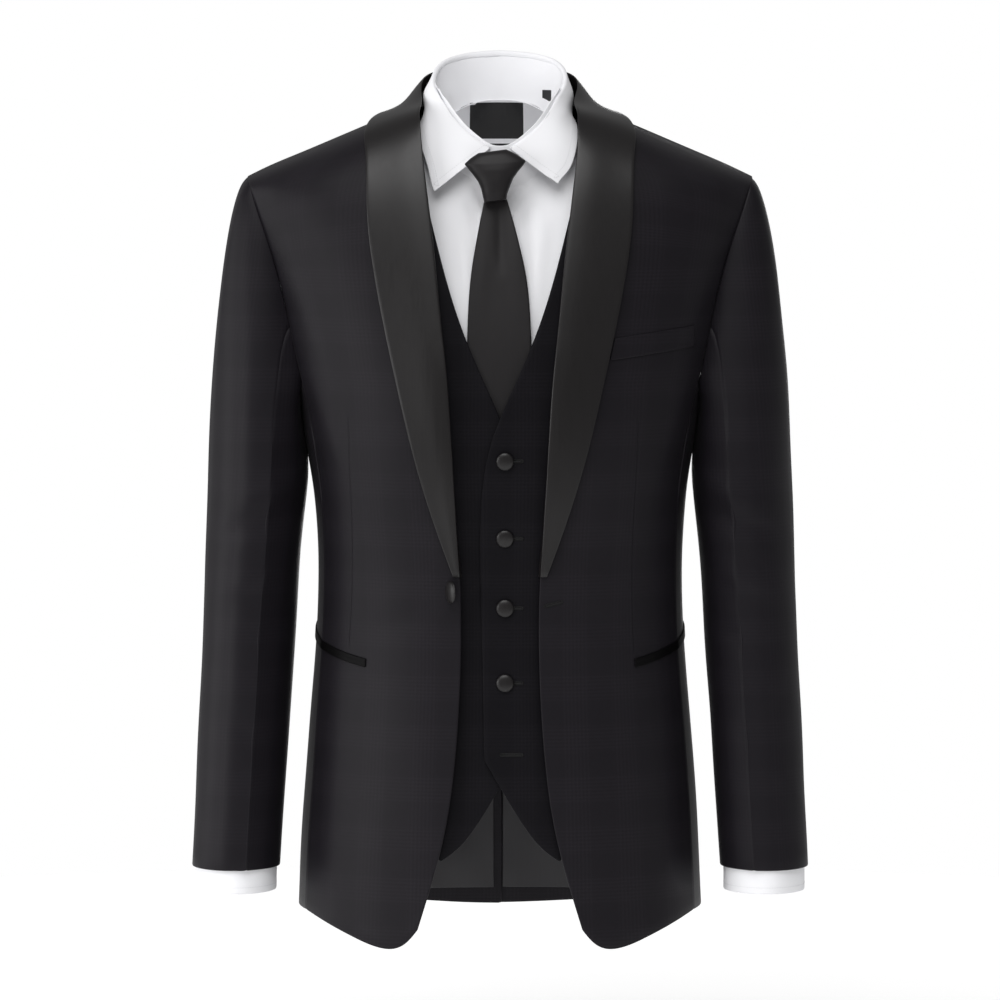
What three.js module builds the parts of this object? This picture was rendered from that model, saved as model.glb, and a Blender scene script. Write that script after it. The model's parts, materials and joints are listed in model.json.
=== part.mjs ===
// A dinner jacket worn open over a waistcoat, a dress shirt and a long tie, hanging as on a figure.
// Lengths are in millimetres. +Z is up, the wearer faces -Y, and +X is the wearer's left.
// The origin lies midway between the neck points of the shoulder seams, where it rests on its wearer.
import * as THREE from "three";

// Cloth and the depth of each layer, measured inwards from the outside of the jacket.
const SEAM = 0.3; // gap at a seam
const JACKET = { cloth: 2.0 };
const LINING = { depth: 4.2, cloth: 1.0 };
const VEST_OVER = { depth: 9.0, cloth: 1.6 };
const VEST_UNDER = { depth: 13.2, cloth: 1.6 };
const TIE = { depth: 16.6, cloth: 2.4 };
const PLACKET = { depth: 20.8, cloth: 0.8, half: 17.5, top: -92 };
const SHIRT = { depth: 22.2, cloth: 1.0 };

// The figure that the cloth hangs on: half width, and depth in front of and behind the shoulder line.
const ROUNDNESS = 2.4; // exponent of the superellipse of each level section
const FIGURE = [
  { z: 14, half: 60, front: 64, back: 72 },
  { z: 2, half: 64, front: 72, back: 80 },
  { z: -20, half: 115.5, front: 82, back: 97 },
  { z: -45, half: 174, front: 91, back: 108 },
  { z: -66, half: 223, front: 97, back: 115 },
  { z: -74, half: 235, front: 99.5, back: 117.5 },
  { z: -98, half: 232, front: 106, back: 124 },
  { z: -137, half: 219, front: 116, back: 131 },
  { z: -170, half: 209, front: 123, back: 134.5 },
  { z: -200, half: 200.5, front: 129, back: 136 },
  { z: -255, half: 189, front: 137, back: 136 },
  { z: -300, half: 179, front: 139, back: 132 },
  { z: -350, half: 172.5, front: 136, back: 124.5 },
  { z: -423, half: 167, front: 128, back: 115 },
  { z: -500, half: 170, front: 128, back: 119 },
  { z: -600, half: 178.5, front: 134, back: 130 },
  { z: -700, half: 185, front: 139, back: 137 },
  { z: -790, half: 188, front: 142, back: 140 },
];
const NECK_X = 80; // where the jacket's neckline and shoulder seam meet
const SHOULDER_X = 231;
const FRONT_SEAM = 0.955; // side seams, as a share of the half width
const BACK_SEAM = 0.94;

// The largest folds of the jacket's body, as soft hollows: the turn and height of the middle of each
// and how far it reaches.
const BODY_FOLDS = [
  { turn: 131, z: -232, deep: 3.2, wide: 9, tall: 74 },
  { turn: -129, z: -222, deep: 2.8, wide: 8, tall: 68 },
  { turn: 150, z: -428, deep: 2.4, wide: 18, tall: 26 },
  { turn: -147, z: -446, deep: 2.1, wide: 16, tall: 23 },
  { turn: 62, z: -338, deep: 1.8, wide: 9, tall: 44 },
  { turn: -60, z: -322, deep: 1.9, wide: 8, tall: 40 },
  { turn: 36, z: -612, deep: 1.5, wide: 8, tall: 88 },
  { turn: -41, z: -596, deep: 1.7, wide: 9, tall: 92 },
];
// And of each sleeve, by the share of the way round it from the shoulder by the front.
const SLEEVE_FOLDS = [
  { share: 0.3, z: -455, deep: 3.2, wide: 0.13, tall: 24 },
  { share: 0.55, z: -402, deep: 2.6, wide: 0.1, tall: 34 },
  { share: 0.2, z: -612, deep: 1.8, wide: 0.12, tall: 46 },
  { share: 0.8, z: -525, deep: 1.6, wide: 0.1, tall: 70 },
];

// Edges of the jacket front seen from the front, as half the opening at each height.
const JACKET_EDGE = [
  { z: -5, x: 80 },
  { z: -20, x: 78 },
  { z: -43, x: 75 },
  { z: -89, x: 67 },
  { z: -141, x: 60 },
  { z: -188, x: 56 },
  { z: -270, x: 47.6 },
  { z: -358, x: 42.2 },
  { z: -400, x: 39.4 },
  { z: -431, x: 36 },
  { z: -490, x: 35.8 },
  { z: -563, x: 38.5 },
  { z: -631, x: 44.8 },
  { z: -699, x: 56 },
  { z: -723, x: 64 },
  { z: -748, x: 76 },
];
const JACKET_HEM_FRONT = [
  { t: 0, x: 76, z: -748 },
  { t: 0.12, x: 87, z: -762 },
  { t: 0.25, x: 100.5, z: -767 },
  { t: 0.4, x: 116, z: -764 },
  { t: 0.65, x: 141, z: -754 },
  { t: 0.86, x: 165, z: -744 },
  { t: 1, x: 178, z: -739 },
];
const JACKET_HEM = { side: -740, back: -758 };
const JACKET_ARMHOLE_FRONT = [
  { z: -69.8, x: 231 },
  { z: -98, x: 222 },
  { z: -137, x: 208 },
  { z: -170, x: 199 },
  { z: -200, x: 192 },
  { z: -231, x: 186 },
  { z: -255, x: 180.5 },
];
const JACKET_ARMHOLE_BACK = [
  { z: -69.8, x: 231 },
  { z: -98, x: 221 },
  { z: -137, x: 206 },
  { z: -170, x: 197 },
  { z: -200, x: 189 },
  { z: -231, x: 182 },
  { z: -255, x: 177.6 },
];
const ARMHOLE = { seamZ: -255, bottomZ: -285 };
const VENT = { top: -520, overLap: 16, underLap: 1, step: 3.2, from: -395, full: -452 };

// Shawl collar: where it rolls over, and its outer edge, from behind the neck to where it ends.
const COLLAR = { cloth: 1.6, lift: 3.2, bow: 2, seamRise: 0.8, seamIn: 1.5 };
const COLLAR_PATH = [
  { t: 0, rollX: 0, rollY: 84, rollZ: 32, edgeX: 0, edgeY: 92, edgeZ: -15 },
  { t: 0.09, rollX: 33, rollY: 78.5, rollZ: 31, edgeX: 44, edgeY: 86, edgeZ: -17 },
  { t: 0.18, rollX: 58, rollY: 58, rollZ: 27.5, edgeX: 84, edgeY: 62, edgeZ: -20 },
  { t: 0.25, rollX: 70.5, rollY: 29, rollZ: 20.5, edgeX: 100, edgeY: 30, edgeZ: -20 },
  { t: 0.31, rollX: 73, rollY: -3, rollZ: 7, edgeX: 108, edgeY: -5, edgeZ: -22 },
  { t: 0.37, rollX: 70.5, rollY: -45, rollZ: -14, edgeX: 114.5, edgeY: -46, edgeZ: -42 },
];
const LAPEL_PATH = [
  { t: 0.44, rollX: 68.5, rollZ: -47, edgeX: 119.5, edgeZ: -70 },
  { t: 0.5, rollX: 64.5, rollZ: -84, edgeX: 119, edgeZ: -101 },
  { t: 0.58, rollX: 59, rollZ: -132, edgeX: 114.5, edgeZ: -140 },
  { t: 0.66, rollX: 53.8, rollZ: -186, edgeX: 106, edgeZ: -188 },
  { t: 0.76, rollX: 46.6, rollZ: -250, edgeX: 92.5, edgeZ: -250 },
  { t: 0.86, rollX: 42.6, rollZ: -318, edgeX: 77, edgeZ: -317 },
  { t: 0.94, rollX: 39, rollZ: -378, edgeX: 58.5, edgeZ: -379 },
  { t: 1, rollX: 36.2, rollZ: -427, edgeX: 41.5, edgeZ: -427 },
];
const COLLAR_SEAM = [
  { t: 0, x: 0 },
  { t: 0.09, x: 36 },
  { t: 0.18, x: 64 },
  { t: 0.25, x: 77 },
  { t: 0.31, x: 80 },
];

// Sleeve sections below the armpit: centre, half width across and half depth from front to back.
const SLEEVE = [
  { z: -350, x: 221.5, y: -2, wide: 46.5, deep: 72 },
  { z: -460, x: 229, y: -8, wide: 44, deep: 66 },
  { z: -580, x: 236, y: -19, wide: 42.5, deep: 60 },
  { z: -700, x: 242.6, y: -33, wide: 41, deep: 53 },
];
const SLEEVE_CAP = { out: 62, outBelow: 14, down: 300, downBelow: 60 };

// Waistcoat: the overlapping front edge from the shoulder to the point, and its hem.
const VEST_EDGE = [
  { z: -6, x: 82 },
  { z: -60, x: 74 },
  { z: -118, x: 60.5 },
  { z: -141, x: 55 },
  { z: -169, x: 47.5 },
  { z: -196, x: 39 },
  { z: -239, x: 21.5 },
  { z: -265, x: 9.5 },
  { z: -289, x: -1.5 },
  { z: -308, x: -11 },
  { z: -323, x: -15 },
  { z: -345, x: -17 },
  { z: -373, x: -18.5 },
  { z: -456, x: -16.8 },
  { z: -532, x: -14.5 },
  { z: -594, x: -13.7 },
];
const VEST_HEM_FRONT = [
  { t: 0, x: -13.7, z: -594 },
  { t: 0.12, x: 3, z: -625 },
  { t: 0.3, x: 39.5, z: -682 },
  { t: 0.36, x: 48, z: -686 },
  { t: 0.5, x: 75, z: -671 },
  { t: 0.75, x: 120, z: -641 },
  { t: 1, x: 160, z: -616 },
];
const VEST_HEM = { side: -616, back: -600 };
const VEST_SHOULDER = { x: 152 };
const VEST_ARMHOLE = [
  { z: -35.6, x: 152 },
  { z: -100, x: 143 },
  { z: -170, x: 142 },
  { z: -230, x: 152 },
  { z: -270, x: 172 },
  { z: -290, x: 172.5 },
];
const VEST_ARMPIT = { seamZ: -290, bottomZ: -306 };

// Shirt body, cut straight under the waistcoat, and closer to the wearer at the base of the neck.
const SHIRT_EDGE = [
  { z: -2, x: 71 },
  { z: -25, x: 62 },
  { z: -48, x: 44 },
  { z: -66, x: 20 },
  { z: -73, x: 0 },
  { z: -590, x: 0 },
];
const SHIRT_NECK_BACK = [
  { t: 0, x: 0, z: 11 },
  { t: 0.12, x: 31, z: 9.5 },
  { t: 0.22, x: 57, z: 4 },
  { t: 0.3, x: 71, z: -1.6 },
];
const SHIRT_HEM = -590;
const NECK_DIP = { depth: 9, from: -165, full: -70 };
const SHIRT_SHOULDER = { x: 226 };
const SHIRT_ARMHOLE_IN = 5;
const SHIRT_SLEEVE_IN = { atTop: 16, below: 11 };
const YOKE_ROWS = 5;

// Shirt collar round the neck: the fold at its top and the edge of its fall, by the turn from the
// middle of the front.
const NECK = [
  { turn: 0, foldX: 0, foldY: -72, foldZ: -43, edgeX: 0, edgeY: -82, edgeZ: -58 },
  { turn: 8, foldX: 9, foldY: -71.5, foldZ: -42, edgeX: 57, edgeY: -87, edgeZ: -76 },
  { turn: 16, foldX: 17, foldY: -69, foldZ: -37, edgeX: 62, edgeY: -80, edgeZ: -66 },
  { turn: 24, foldX: 25, foldY: -65, foldZ: -31, edgeX: 66, edgeY: -72, edgeZ: -55 },
  { turn: 38, foldX: 39, foldY: -54, foldZ: -18, edgeX: 70, edgeY: -58, edgeZ: -42 },
  { turn: 55, foldX: 51, foldY: -37, foldZ: -2, edgeX: 71.5, edgeY: -37, edgeZ: -29 },
  { turn: 75, foldX: 58.5, foldY: -15, foldZ: 12, edgeX: 70.5, edgeY: -14, edgeZ: -18 },
  { turn: 95, foldX: 60.5, foldY: 12, foldZ: 24, edgeX: 68, edgeY: 14, edgeZ: -10 },
  { turn: 120, foldX: 53, foldY: 39, foldZ: 34, edgeX: 58, edgeY: 44, edgeZ: -3 },
  { turn: 150, foldX: 31, foldY: 60, foldZ: 40.5, edgeX: 33, edgeY: 63, edgeZ: 1 },
  { turn: 180, foldX: 0, foldY: 66, foldZ: 43, edgeX: 0, edgeY: 70, edgeZ: 3 },
];
const NECK_TURNS = [0, 8, 16, 24, 34, 46, 60, 76, 94, 112, 130, 148, 164, 180];
const NECK_FRONT = 76; // turn where the neckline of the shirt crosses its shoulder seam
const FALL = { cloth: 1.4, gap: 0.5, bow: 2.6, edgeDepth: 16.5 };
const STAND_CLOTH = 1.2;
const SHIRT_CUFF = { top: -655, bottom: -722, cloth: 2.2, inside: 3 };

// Tie: the middle and half width of the knot and of the blade at each height.
const KNOT = [
  { z: -43, mid: -2, half: 15, bulge: 9 },
  { z: -49, mid: -3, half: 22, bulge: 16 },
  { z: -55, mid: -3.5, half: 28, bulge: 20 },
  { z: -61, mid: -3.5, half: 24, bulge: 22 },
  { z: -71, mid: -3.5, half: 15.8, bulge: 22 },
  { z: -81, mid: -3.8, half: 12, bulge: 19 },
  { z: -89, mid: -4, half: 9.8, bulge: 14 },
];
const KNOT_FLATTENING = 2.6; // exponent of the knot's section
const KNOT_SLOPE = { y: -91.7, z: -66, lean: 0.1 };
const BLADE = [
  { z: -84, mid: -4, half: 9.2 },
  { z: -111, mid: -2.8, half: 16 },
  { z: -138, mid: -1.8, half: 22 },
  { z: -160, mid: -1.1, half: 25.7 },
  { z: -187, mid: -0.9, half: 27.7 },
  { z: -220, mid: -0.6, half: 29 },
  { z: -420, mid: 0, half: 34 },
  { z: -460, mid: 0, half: 4 },
];
const TIE_BAND = { from: 0.3, to: 0.7, cloth: 0.8, gap: 0.4 };

// Small pieces.
const VEST_BUTTONS = [-323, -393.5, -457, -525];
const VEST_BUTTON = { x: 4.5, radius: 8, thick: 3.6 };
const JACKET_BUTTON = { x: -44, z: -441, radius: 10.5, thick: 4.2, turn: 66 };
const HIP_POCKET = { insideX: 117, insideZ: -505, outsideTurn: 97, rise: 24, jet: 6.8, cloth: 1.2 };
const BREAST_WELT = {
  innerX: 104,
  outerX: 177,
  tuck: 4,
  innerTop: -213,
  outerTop: -203.5,
  innerLow: -231.5,
  outerLow: -221.5,
};
const WELT_CLOTH = 1.3;
const LABEL = { x: -1.8, half: 24.8, top: -4.5, low: -36.5, cloth: 0.6 };
const LABEL_STRIP = { x: -7, half: 18, top: -42, low: -50, cloth: 0.6 };
const SIZE_TAB = { fromTurn: 113, toTurn: 121, top: 9, low: 0, cloth: 0.6 };

const COLOURS = {
  wool: new THREE.MeshStandardMaterial({ color: 0x1b1a1f, roughness: 0.85, metalness: 0 }),
  satin: new THREE.MeshStandardMaterial({ color: 0x2b2726, roughness: 0.35, metalness: 0 }),
  lining: new THREE.MeshStandardMaterial({ color: 0x4a4850, roughness: 0.4, metalness: 0 }),
  tie: new THREE.MeshStandardMaterial({ color: 0x201f20, roughness: 0.45, metalness: 0 }),
  shirt: new THREE.MeshStandardMaterial({ color: 0xeeeef2, roughness: 0.8, metalness: 0 }),
  label: new THREE.MeshStandardMaterial({ color: 0x0d0d0f, roughness: 0.5, metalness: 0 }),
};

const suit = new THREE.Group();
const DEGREE = Math.PI / 180;

// Smooth curve through one column of a table, without overshoot between its rows.
function column(rows, from, to) {
  const points = rows.map((row) => [row[from], row[to]]).sort((a, b) => a[0] - b[0]);
  const slopes = points.slice(1).map((p, i) => (p[1] - points[i][1]) / (p[0] - points[i][0]));
  const tangents = points.map((_, i) => {
    if (i === 0) return slopes[0];
    if (i === slopes.length) return slopes[i - 1];
    const [before, after] = [slopes[i - 1], slopes[i]];
    return before * after <= 0 ? 0 : (2 * before * after) / (before + after);
  });
  return (value) => {
    const last = points.length - 1;
    if (value <= points[0][0]) return points[0][1];
    if (value >= points[last][0]) return points[last][1];
    const i = points.findIndex((p) => p[0] > value) - 1;
    const width = points[i + 1][0] - points[i][0];
    const s = (value - points[i][0]) / width;
    const rise = s * s * (3 - 2 * s);
    const start = s * (1 - s) * (1 - s) * width * tangents[i];
    const end = s * s * (s - 1) * width * tangents[i + 1];
    return points[i][1] * (1 - rise) + points[i + 1][1] * rise + start + end;
  };
}

const mix = (a, b, t) => a + (b - a) * t;
const blend = (p, q, t) => ({ x: mix(p.x, q.x, t), z: mix(p.z, q.z, t) });
function smooth(from, to, value) {
  const s = Math.min(1, Math.max(0, (value - from) / (to - from)));
  return s * s * (3 - 2 * s);
}

const halfWidth = column(FIGURE, "z", "half");
const frontDepth = column(FIGURE, "z", "front");
const backDepth = column(FIGURE, "z", "back");

// A point of the figure at a turn from the middle of the front, where 90 degrees is the wearer's left side.
function skin(turn, z) {
  const [s, c] = [Math.sin(turn), Math.cos(turn)];
  const reach = (Math.abs(s) ** ROUNDNESS + Math.abs(c) ** ROUNDNESS) ** (-1 / ROUNDNESS);
  const depth = c > 0 ? frontDepth(z) : backDepth(z);
  return new THREE.Vector3(halfWidth(z) * reach * s, -depth * reach * c, z);
}

// A function's outward normal at (u, v), where its two steps turn from u to v as +X turns to +Z.
function normalOf(surface, u, v, du, dv) {
  const along = surface(u + du, v).sub(surface(u - du, v));
  const across = surface(u, v + dv).sub(surface(u, v - dv));
  return along.cross(across).normalize();
}

// The figure moved inwards by a depth.
function figure(turn, z, depth) {
  const inwards = normalOf(skin, turn, z, 0.004, 0.6).multiplyScalar(-depth);
  return skin(turn, z).add(inwards);
}

// How far a point lies outside the figure, and which way is out.
function outOfFigure(point) {
  const level = ({ x, y, z }) => {
    const depth = y < 0 ? frontDepth(z) : backDepth(z);
    const sum = (Math.abs(x) / halfWidth(z)) ** ROUNDNESS + (Math.abs(y) / depth) ** ROUNDNESS;
    return sum ** (1 / ROUNDNESS);
  };
  const step = 0.4;
  const slope = new THREE.Vector3(...["x", "y", "z"].map((axis) => {
    const [ahead, behind] = [point.clone(), point.clone()];
    ahead[axis] += step;
    behind[axis] -= step;
    return (level(ahead) - level(behind)) / (2 * step);
  }));
  return { height: (level(point) - 1) / slope.length(), out: slope.normalize() };
}

// Moves a point to a height above the figure, or only as far as it has to rise to be that high.
function settle(point, height, onlyRise = false) {
  for (let i = 0; i < 5; i += 1) {
    const { height: now, out } = outOfFigure(point);
    if (onlyRise && now >= height) break;
    point.addScaledVector(out, height - now);
  }
  return point;
}

// The shoulder seam runs along the ridge of the figure, where front and back meet.
function ridgeAt(x) {
  let [low, high] = [FIGURE[5].z, FIGURE[0].z];
  for (let i = 0; i < 40; i += 1) {
    const middle = (low + high) / 2;
    if (halfWidth(middle) > x) low = middle;
    else high = middle;
  }
  return { x, z: low };
}
const NECK_POINT = ridgeAt(NECK_X);
const SHOULDER_POINT = ridgeAt(SHOULDER_X);

// The turn at which the figure has a given x, in front or behind. It keeps clear of the shoulder seam.
const SEAM_TURN = 0.0018;
function turnAt(x, z, behind) {
  const share = Math.min(1, Math.abs(x) / halfWidth(z));
  const rest = (1 - share ** ROUNDNESS) ** (1 / ROUNDNESS);
  const turn = Math.min(Math.atan2(share, rest), Math.PI / 2 - SEAM_TURN);
  return Math.sign(x || 1) * (behind ? Math.PI - turn : turn);
}

// How deep the folds are at a place on the jacket's body.
const hill = (offset, reach) => Math.exp(-((offset / reach) ** 2));
const jacketDepth = (turn, z) =>
  BODY_FOLDS.reduce((sum, fold) => {
    const round = Math.atan2(Math.sin(turn - fold.turn * DEGREE), Math.cos(turn - fold.turn * DEGREE));
    return sum + fold.deep * hill(round / DEGREE, fold.wide) * hill(z - fold.z, fold.tall);
  }, 0);

// A wall of cloth: patches are grids of quads whose shared points meet, and each point has an outer
// and an inner place.
function wall(patches) {
  const positions = [];
  const keys = new Map();
  const quads = [];
  const place = (outer, inner) => {
    const key = outer.toArray().map((n) => n.toFixed(3)).join(" ");
    if (!keys.has(key)) {
      keys.set(key, positions.length / 6);
      positions.push(...outer.toArray(), ...inner.toArray());
    }
    return keys.get(key);
  };
  for (const { us, vs, outer, inner } of patches) {
    const grid = us.map((u) => vs.map((v) => place(outer(u, v), inner(u, v))));
    for (let i = 0; i + 1 < us.length; i += 1)
      for (let j = 0; j + 1 < vs.length; j += 1)
        quads.push([grid[i][j], grid[i + 1][j], grid[i + 1][j + 1], grid[i][j + 1]]);
  }
  const edges = new Map();
  quads.forEach((q) => q.forEach((a, k) => edges.set(`${a} ${q[(k + 1) % 4]}`, [a, q[(k + 1) % 4]])));
  const index = [];
  for (const [a, b, c, d] of quads.map((quad) => quad.map((corner) => 2 * corner))) {
    index.push(a, b, c, a, c, d);
    index.push(a + 1, c + 1, b + 1, a + 1, d + 1, c + 1);
  }
  for (const [a, b] of edges.values())
    if (!edges.has(`${b} ${a}`)) index.push(2 * b, 2 * a, 2 * a + 1, 2 * b, 2 * a + 1, 2 * b + 1);
  return facingOut(positions, index);
}

// A closed mesh from points and triangles, turned so that its faces point out.
function facingOut(positions, index) {
  const corner = (i) => new THREE.Vector3().fromArray(positions, 3 * i);
  let volume = 0;
  for (let i = 0; i < index.length; i += 3)
    volume += corner(index[i]).dot(corner(index[i + 1]).cross(corner(index[i + 2])));
  if (volume < 0) index.reverse();
  const geometry = new THREE.BufferGeometry();
  geometry.setAttribute("position", new THREE.Float32BufferAttribute(positions, 3));
  return geometry.setIndex(index);
}

function add(name, geometry, material) {
  const mesh = new THREE.Mesh(geometry, material);
  mesh.name = name;
  suit.add(mesh);
  return mesh;
}

const steps = (count, from = 0, to = 1) =>
  Array.from({ length: count + 1 }, (_, i) => mix(from, to, i / count));
const SIDES = [
  { name: "left", sign: 1 },
  { name: "right", sign: -1 },
];

// A patch that lies on the figure. at(u, v) gives its turn and z, and depth may change with them.
function onFigure(us, vs, at, depth, cloth) {
  const deep = typeof depth === "function" ? depth : () => depth;
  const lay = (extra) => (u, v) => {
    const { turn, z } = at(u, v);
    return figure(turn, z, deep(turn, z) + extra);
  };
  return { us, vs, outer: lay(0), inner: lay(cloth) };
}

// The inside of four edges, given in the front view as points with x and z.
function between(top, bottom, inside, outside) {
  return (u, v) => {
    const rows = blend(top(u), bottom(u), v);
    const columns = blend(inside(v), outside(v), u);
    const corners = blend(blend(top(0), top(1), u), blend(bottom(0), bottom(1), u), v);
    return { x: rows.x + columns.x - corners.x, z: rows.z + columns.z - corners.z };
  };
}

// A front or back panel on one side of the body, from the shoulder seam to the hem, with an armhole
// above its seam.
// Row armholeRow meets the side seam.
function bodyPanel(panel) {
  const { sign, behind, rowsAt, armholeRow, top, edge, armhole, seamZ, share, hem, hemSide, gap } = panel;
  const startZ = edge(0).z;
  const startX = top(0).x - edge(0, startZ).x;
  const armholeShare = rowsAt[armholeRow];
  const shoulderX = top(1).x - armhole(top(1).z);
  const outside = (v) => {
    if (v <= armholeShare) {
      const down = v / armholeShare;
      const z = mix(top(1).z, seamZ, down);
      return { x: armhole(z) + shoulderX * (1 - down) ** 3, z };
    }
    const z = mix(seamZ, hemSide, (v - armholeShare) / (1 - armholeShare));
    return { x: share * halfWidth(z) - gap, z };
  };
  const inside = (v) => {
    const { x, z } = edge(v, startZ);
    return { x: x + startX * (1 - v) ** 20, z };
  };
  const shape = between(top, hem, inside, outside);
  const at = (u, v) => {
    const { x, z } = shape(u, v);
    return { turn: turnAt(sign * x, z, behind), z };
  };
  return { at, rowsAt, outside };
}

// The part of a body that lies under the arm, between two side seams given as shares of the half width.
function underArm(panel) {
  const { sign, frontShare, backShare, seamZs, bottomZ, hemFront, hemBack, gaps, fromTurn, toTurn } = panel;
  const seamZ = seamZs[0];
  const low = seamZs.at(-1);
  const at = (u, v) => {
    const down = (v - seamZ) / (low - seamZ);
    const frontTurn = fromTurn ?? turnAt(frontShare * halfWidth(v) + gaps.front, v, false);
    const backTurn = toTurn ?? turnAt(backShare * halfWidth(v) + gaps.back, v, true);
    const turn = mix(frontTurn, backTurn, u);
    const [f, b] = [turnAt(frontShare * halfWidth(v), v, false), turnAt(backShare * halfWidth(v), v, true)];
    const over = Math.min(1, Math.max(0, (turn - f) / (b - f)));
    const dip = (bottomZ - seamZ) * 4 * over * (1 - over) * (1 - down);
    const hem = (mix(hemFront, hemBack, over) - low) * down;
    return { turn: sign * turn, z: v + dip + hem };
  };
  return at;
}

// Jacket body.
// Rows are close together at the shoulder, where the cloth turns over.
const rowsOf = (count) => steps(count).map((step) => step ** 2);
const JACKET_ROWS = rowsOf(17);
const ARMHOLE_ROW = 7;
const edgeOfJacket = column(JACKET_EDGE, "z", "x");
const armholeFront = column(JACKET_ARMHOLE_FRONT, "z", "x");
const armholeBack = column(JACKET_ARMHOLE_BACK, "z", "x");
const hemX = column(JACKET_HEM_FRONT, "t", "x");
const hemZ = column(JACKET_HEM_FRONT, "t", "z");
const ridge = (from, to) => (u) => ridgeAt(mix(from.x, to.x, u));
const NECK_SHARE = 0.3; // the part of a back panel's top that is neckline
const JACKET_NECK_BACK = [
  { t: 0, x: 0, z: -2 },
  { t: 0.12, x: 36, z: -3.5 },
  { t: 0.22, x: 65, z: -6 },
  { t: NECK_SHARE, ...NECK_POINT },
];
const VEST_NECK_BACK = [
  { t: 0, x: 0, z: -14 },
  { t: 0.12, x: 35, z: -14.5 },
  { t: 0.22, x: 65, z: -12 },
  { t: NECK_SHARE, ...ridgeAt(82) },
];

function backTop(neckline, shoulder) {
  const [neckX, neckZ] = [column(neckline, "t", "x"), column(neckline, "t", "z")];
  const corner = neckline.at(-1);
  return (u) => {
    if (u <= NECK_SHARE) return { x: neckX(u), z: neckZ(u) };
    return ridgeAt(mix(corner.x, shoulder.x, (u - NECK_SHARE) / (1 - NECK_SHARE)));
  };
}

function jacketFront(sign) {
  const endZ = JACKET_EDGE.at(-1).z;
  return bodyPanel({
    sign,
    behind: false,
    rowsAt: JACKET_ROWS,
    armholeRow: ARMHOLE_ROW,
    top: ridge(NECK_POINT, SHOULDER_POINT),
    edge: (v, startZ = NECK_POINT.z) => {
      const z = mix(startZ, endZ, v);
      return { x: edgeOfJacket(z), z };
    },
    armhole: armholeFront,
    seamZ: ARMHOLE.seamZ,
    share: FRONT_SEAM,
    hem: (u) => ({ x: hemX(u), z: hemZ(u) }),
    hemSide: JACKET_HEM_FRONT.at(-1).z,
    gap: SEAM / 2,
  });
}

function jacketBack(sign, lap) {
  return bodyPanel({
    sign,
    behind: true,
    rowsAt: JACKET_ROWS,
    armholeRow: ARMHOLE_ROW,
    top: backTop(JACKET_NECK_BACK, SHOULDER_POINT),
    edge: (v, startZ = JACKET_NECK_BACK[0].z) => {
      const z = mix(startZ, JACKET_HEM.back, v);
      return { x: SEAM / 2 - lap * smooth(VENT.top + 12, VENT.top - 12, z), z };
    },
    armhole: armholeBack,
    seamZ: ARMHOLE.seamZ,
    share: BACK_SEAM,
    hem: (u) => {
      const x = mix(SEAM / 2 - lap, BACK_SEAM * halfWidth(JACKET_HEM.side) - SEAM / 2, u);
      return { x, z: mix(JACKET_HEM.back, JACKET_HEM.side, u * u) };
    },
    hemSide: JACKET_HEM.side,
    gap: SEAM / 2,
  });
}

const frontPanel = jacketFront(1);
const seamRows = frontPanel.rowsAt.slice(ARMHOLE_ROW);
const seamHeights = seamRows.map((v) => frontPanel.outside(v).z);
const underArmOf = (sign) =>
  underArm({
    sign,
    frontShare: FRONT_SEAM,
    backShare: BACK_SEAM,
    seamZs: seamHeights,
    bottomZ: ARMHOLE.bottomZ,
    hemFront: JACKET_HEM_FRONT.at(-1).z,
    hemBack: JACKET_HEM.side,
    gaps: { front: SEAM / 2, back: SEAM / 2 },
  });
// Below the top of the vent the right back passes under the left one.
const ventDepth = (turn, z) => {
  const x = -skin(turn, z).x;
  return jacketDepth(turn, z) + VENT.step * smooth(VENT.from, VENT.full, z) * smooth(70, 30, x);
};

for (const { name, sign } of SIDES) {
  const front = jacketFront(sign);
  const frontPatch = onFigure(steps(9), front.rowsAt, front.at, jacketDepth, JACKET.cloth);
  add(`jacket_front_${name}`, wall([frontPatch]), COLOURS.wool);
  const back = jacketBack(sign, sign < 0 ? VENT.underLap : VENT.overLap);
  const depth = sign < 0 ? ventDepth : jacketDepth;
  const backPatch = onFigure(steps(9), back.rowsAt, back.at, depth, JACKET.cloth);
  add(`jacket_back_${name}`, wall([backPatch]), COLOURS.wool);
  const side = wall([onFigure(steps(4), seamHeights, underArmOf(sign), jacketDepth, JACKET.cloth)]);
  add(`jacket_side_${name}`, side, COLOURS.wool);
}

// Lining of the jacket's back, seen below the waistcoat: one half each side of the vent.
const LINING_SHAPE = { top: -560, low: -743, rightX: -6.5, leftX: 3, share: 0.9 };
for (const { name, sign } of SIDES) {
  const from = sign > 0 ? LINING_SHAPE.leftX : -LINING_SHAPE.rightX;
  const liningX = (u, z) => sign * mix(from, LINING_SHAPE.share * halfWidth(z), u);
  const at = (u, z) => ({ turn: turnAt(liningX(u, z), z, true), z });
  const depth = LINING.depth + (sign < 0 ? VENT.step : 0);
  const heights = steps(5, LINING_SHAPE.top, LINING_SHAPE.low);
  const patch = onFigure(steps(7), heights, at, depth, LINING.cloth);
  add(`jacket_lining_${name}`, wall([patch]), COLOURS.lining);
}

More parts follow.
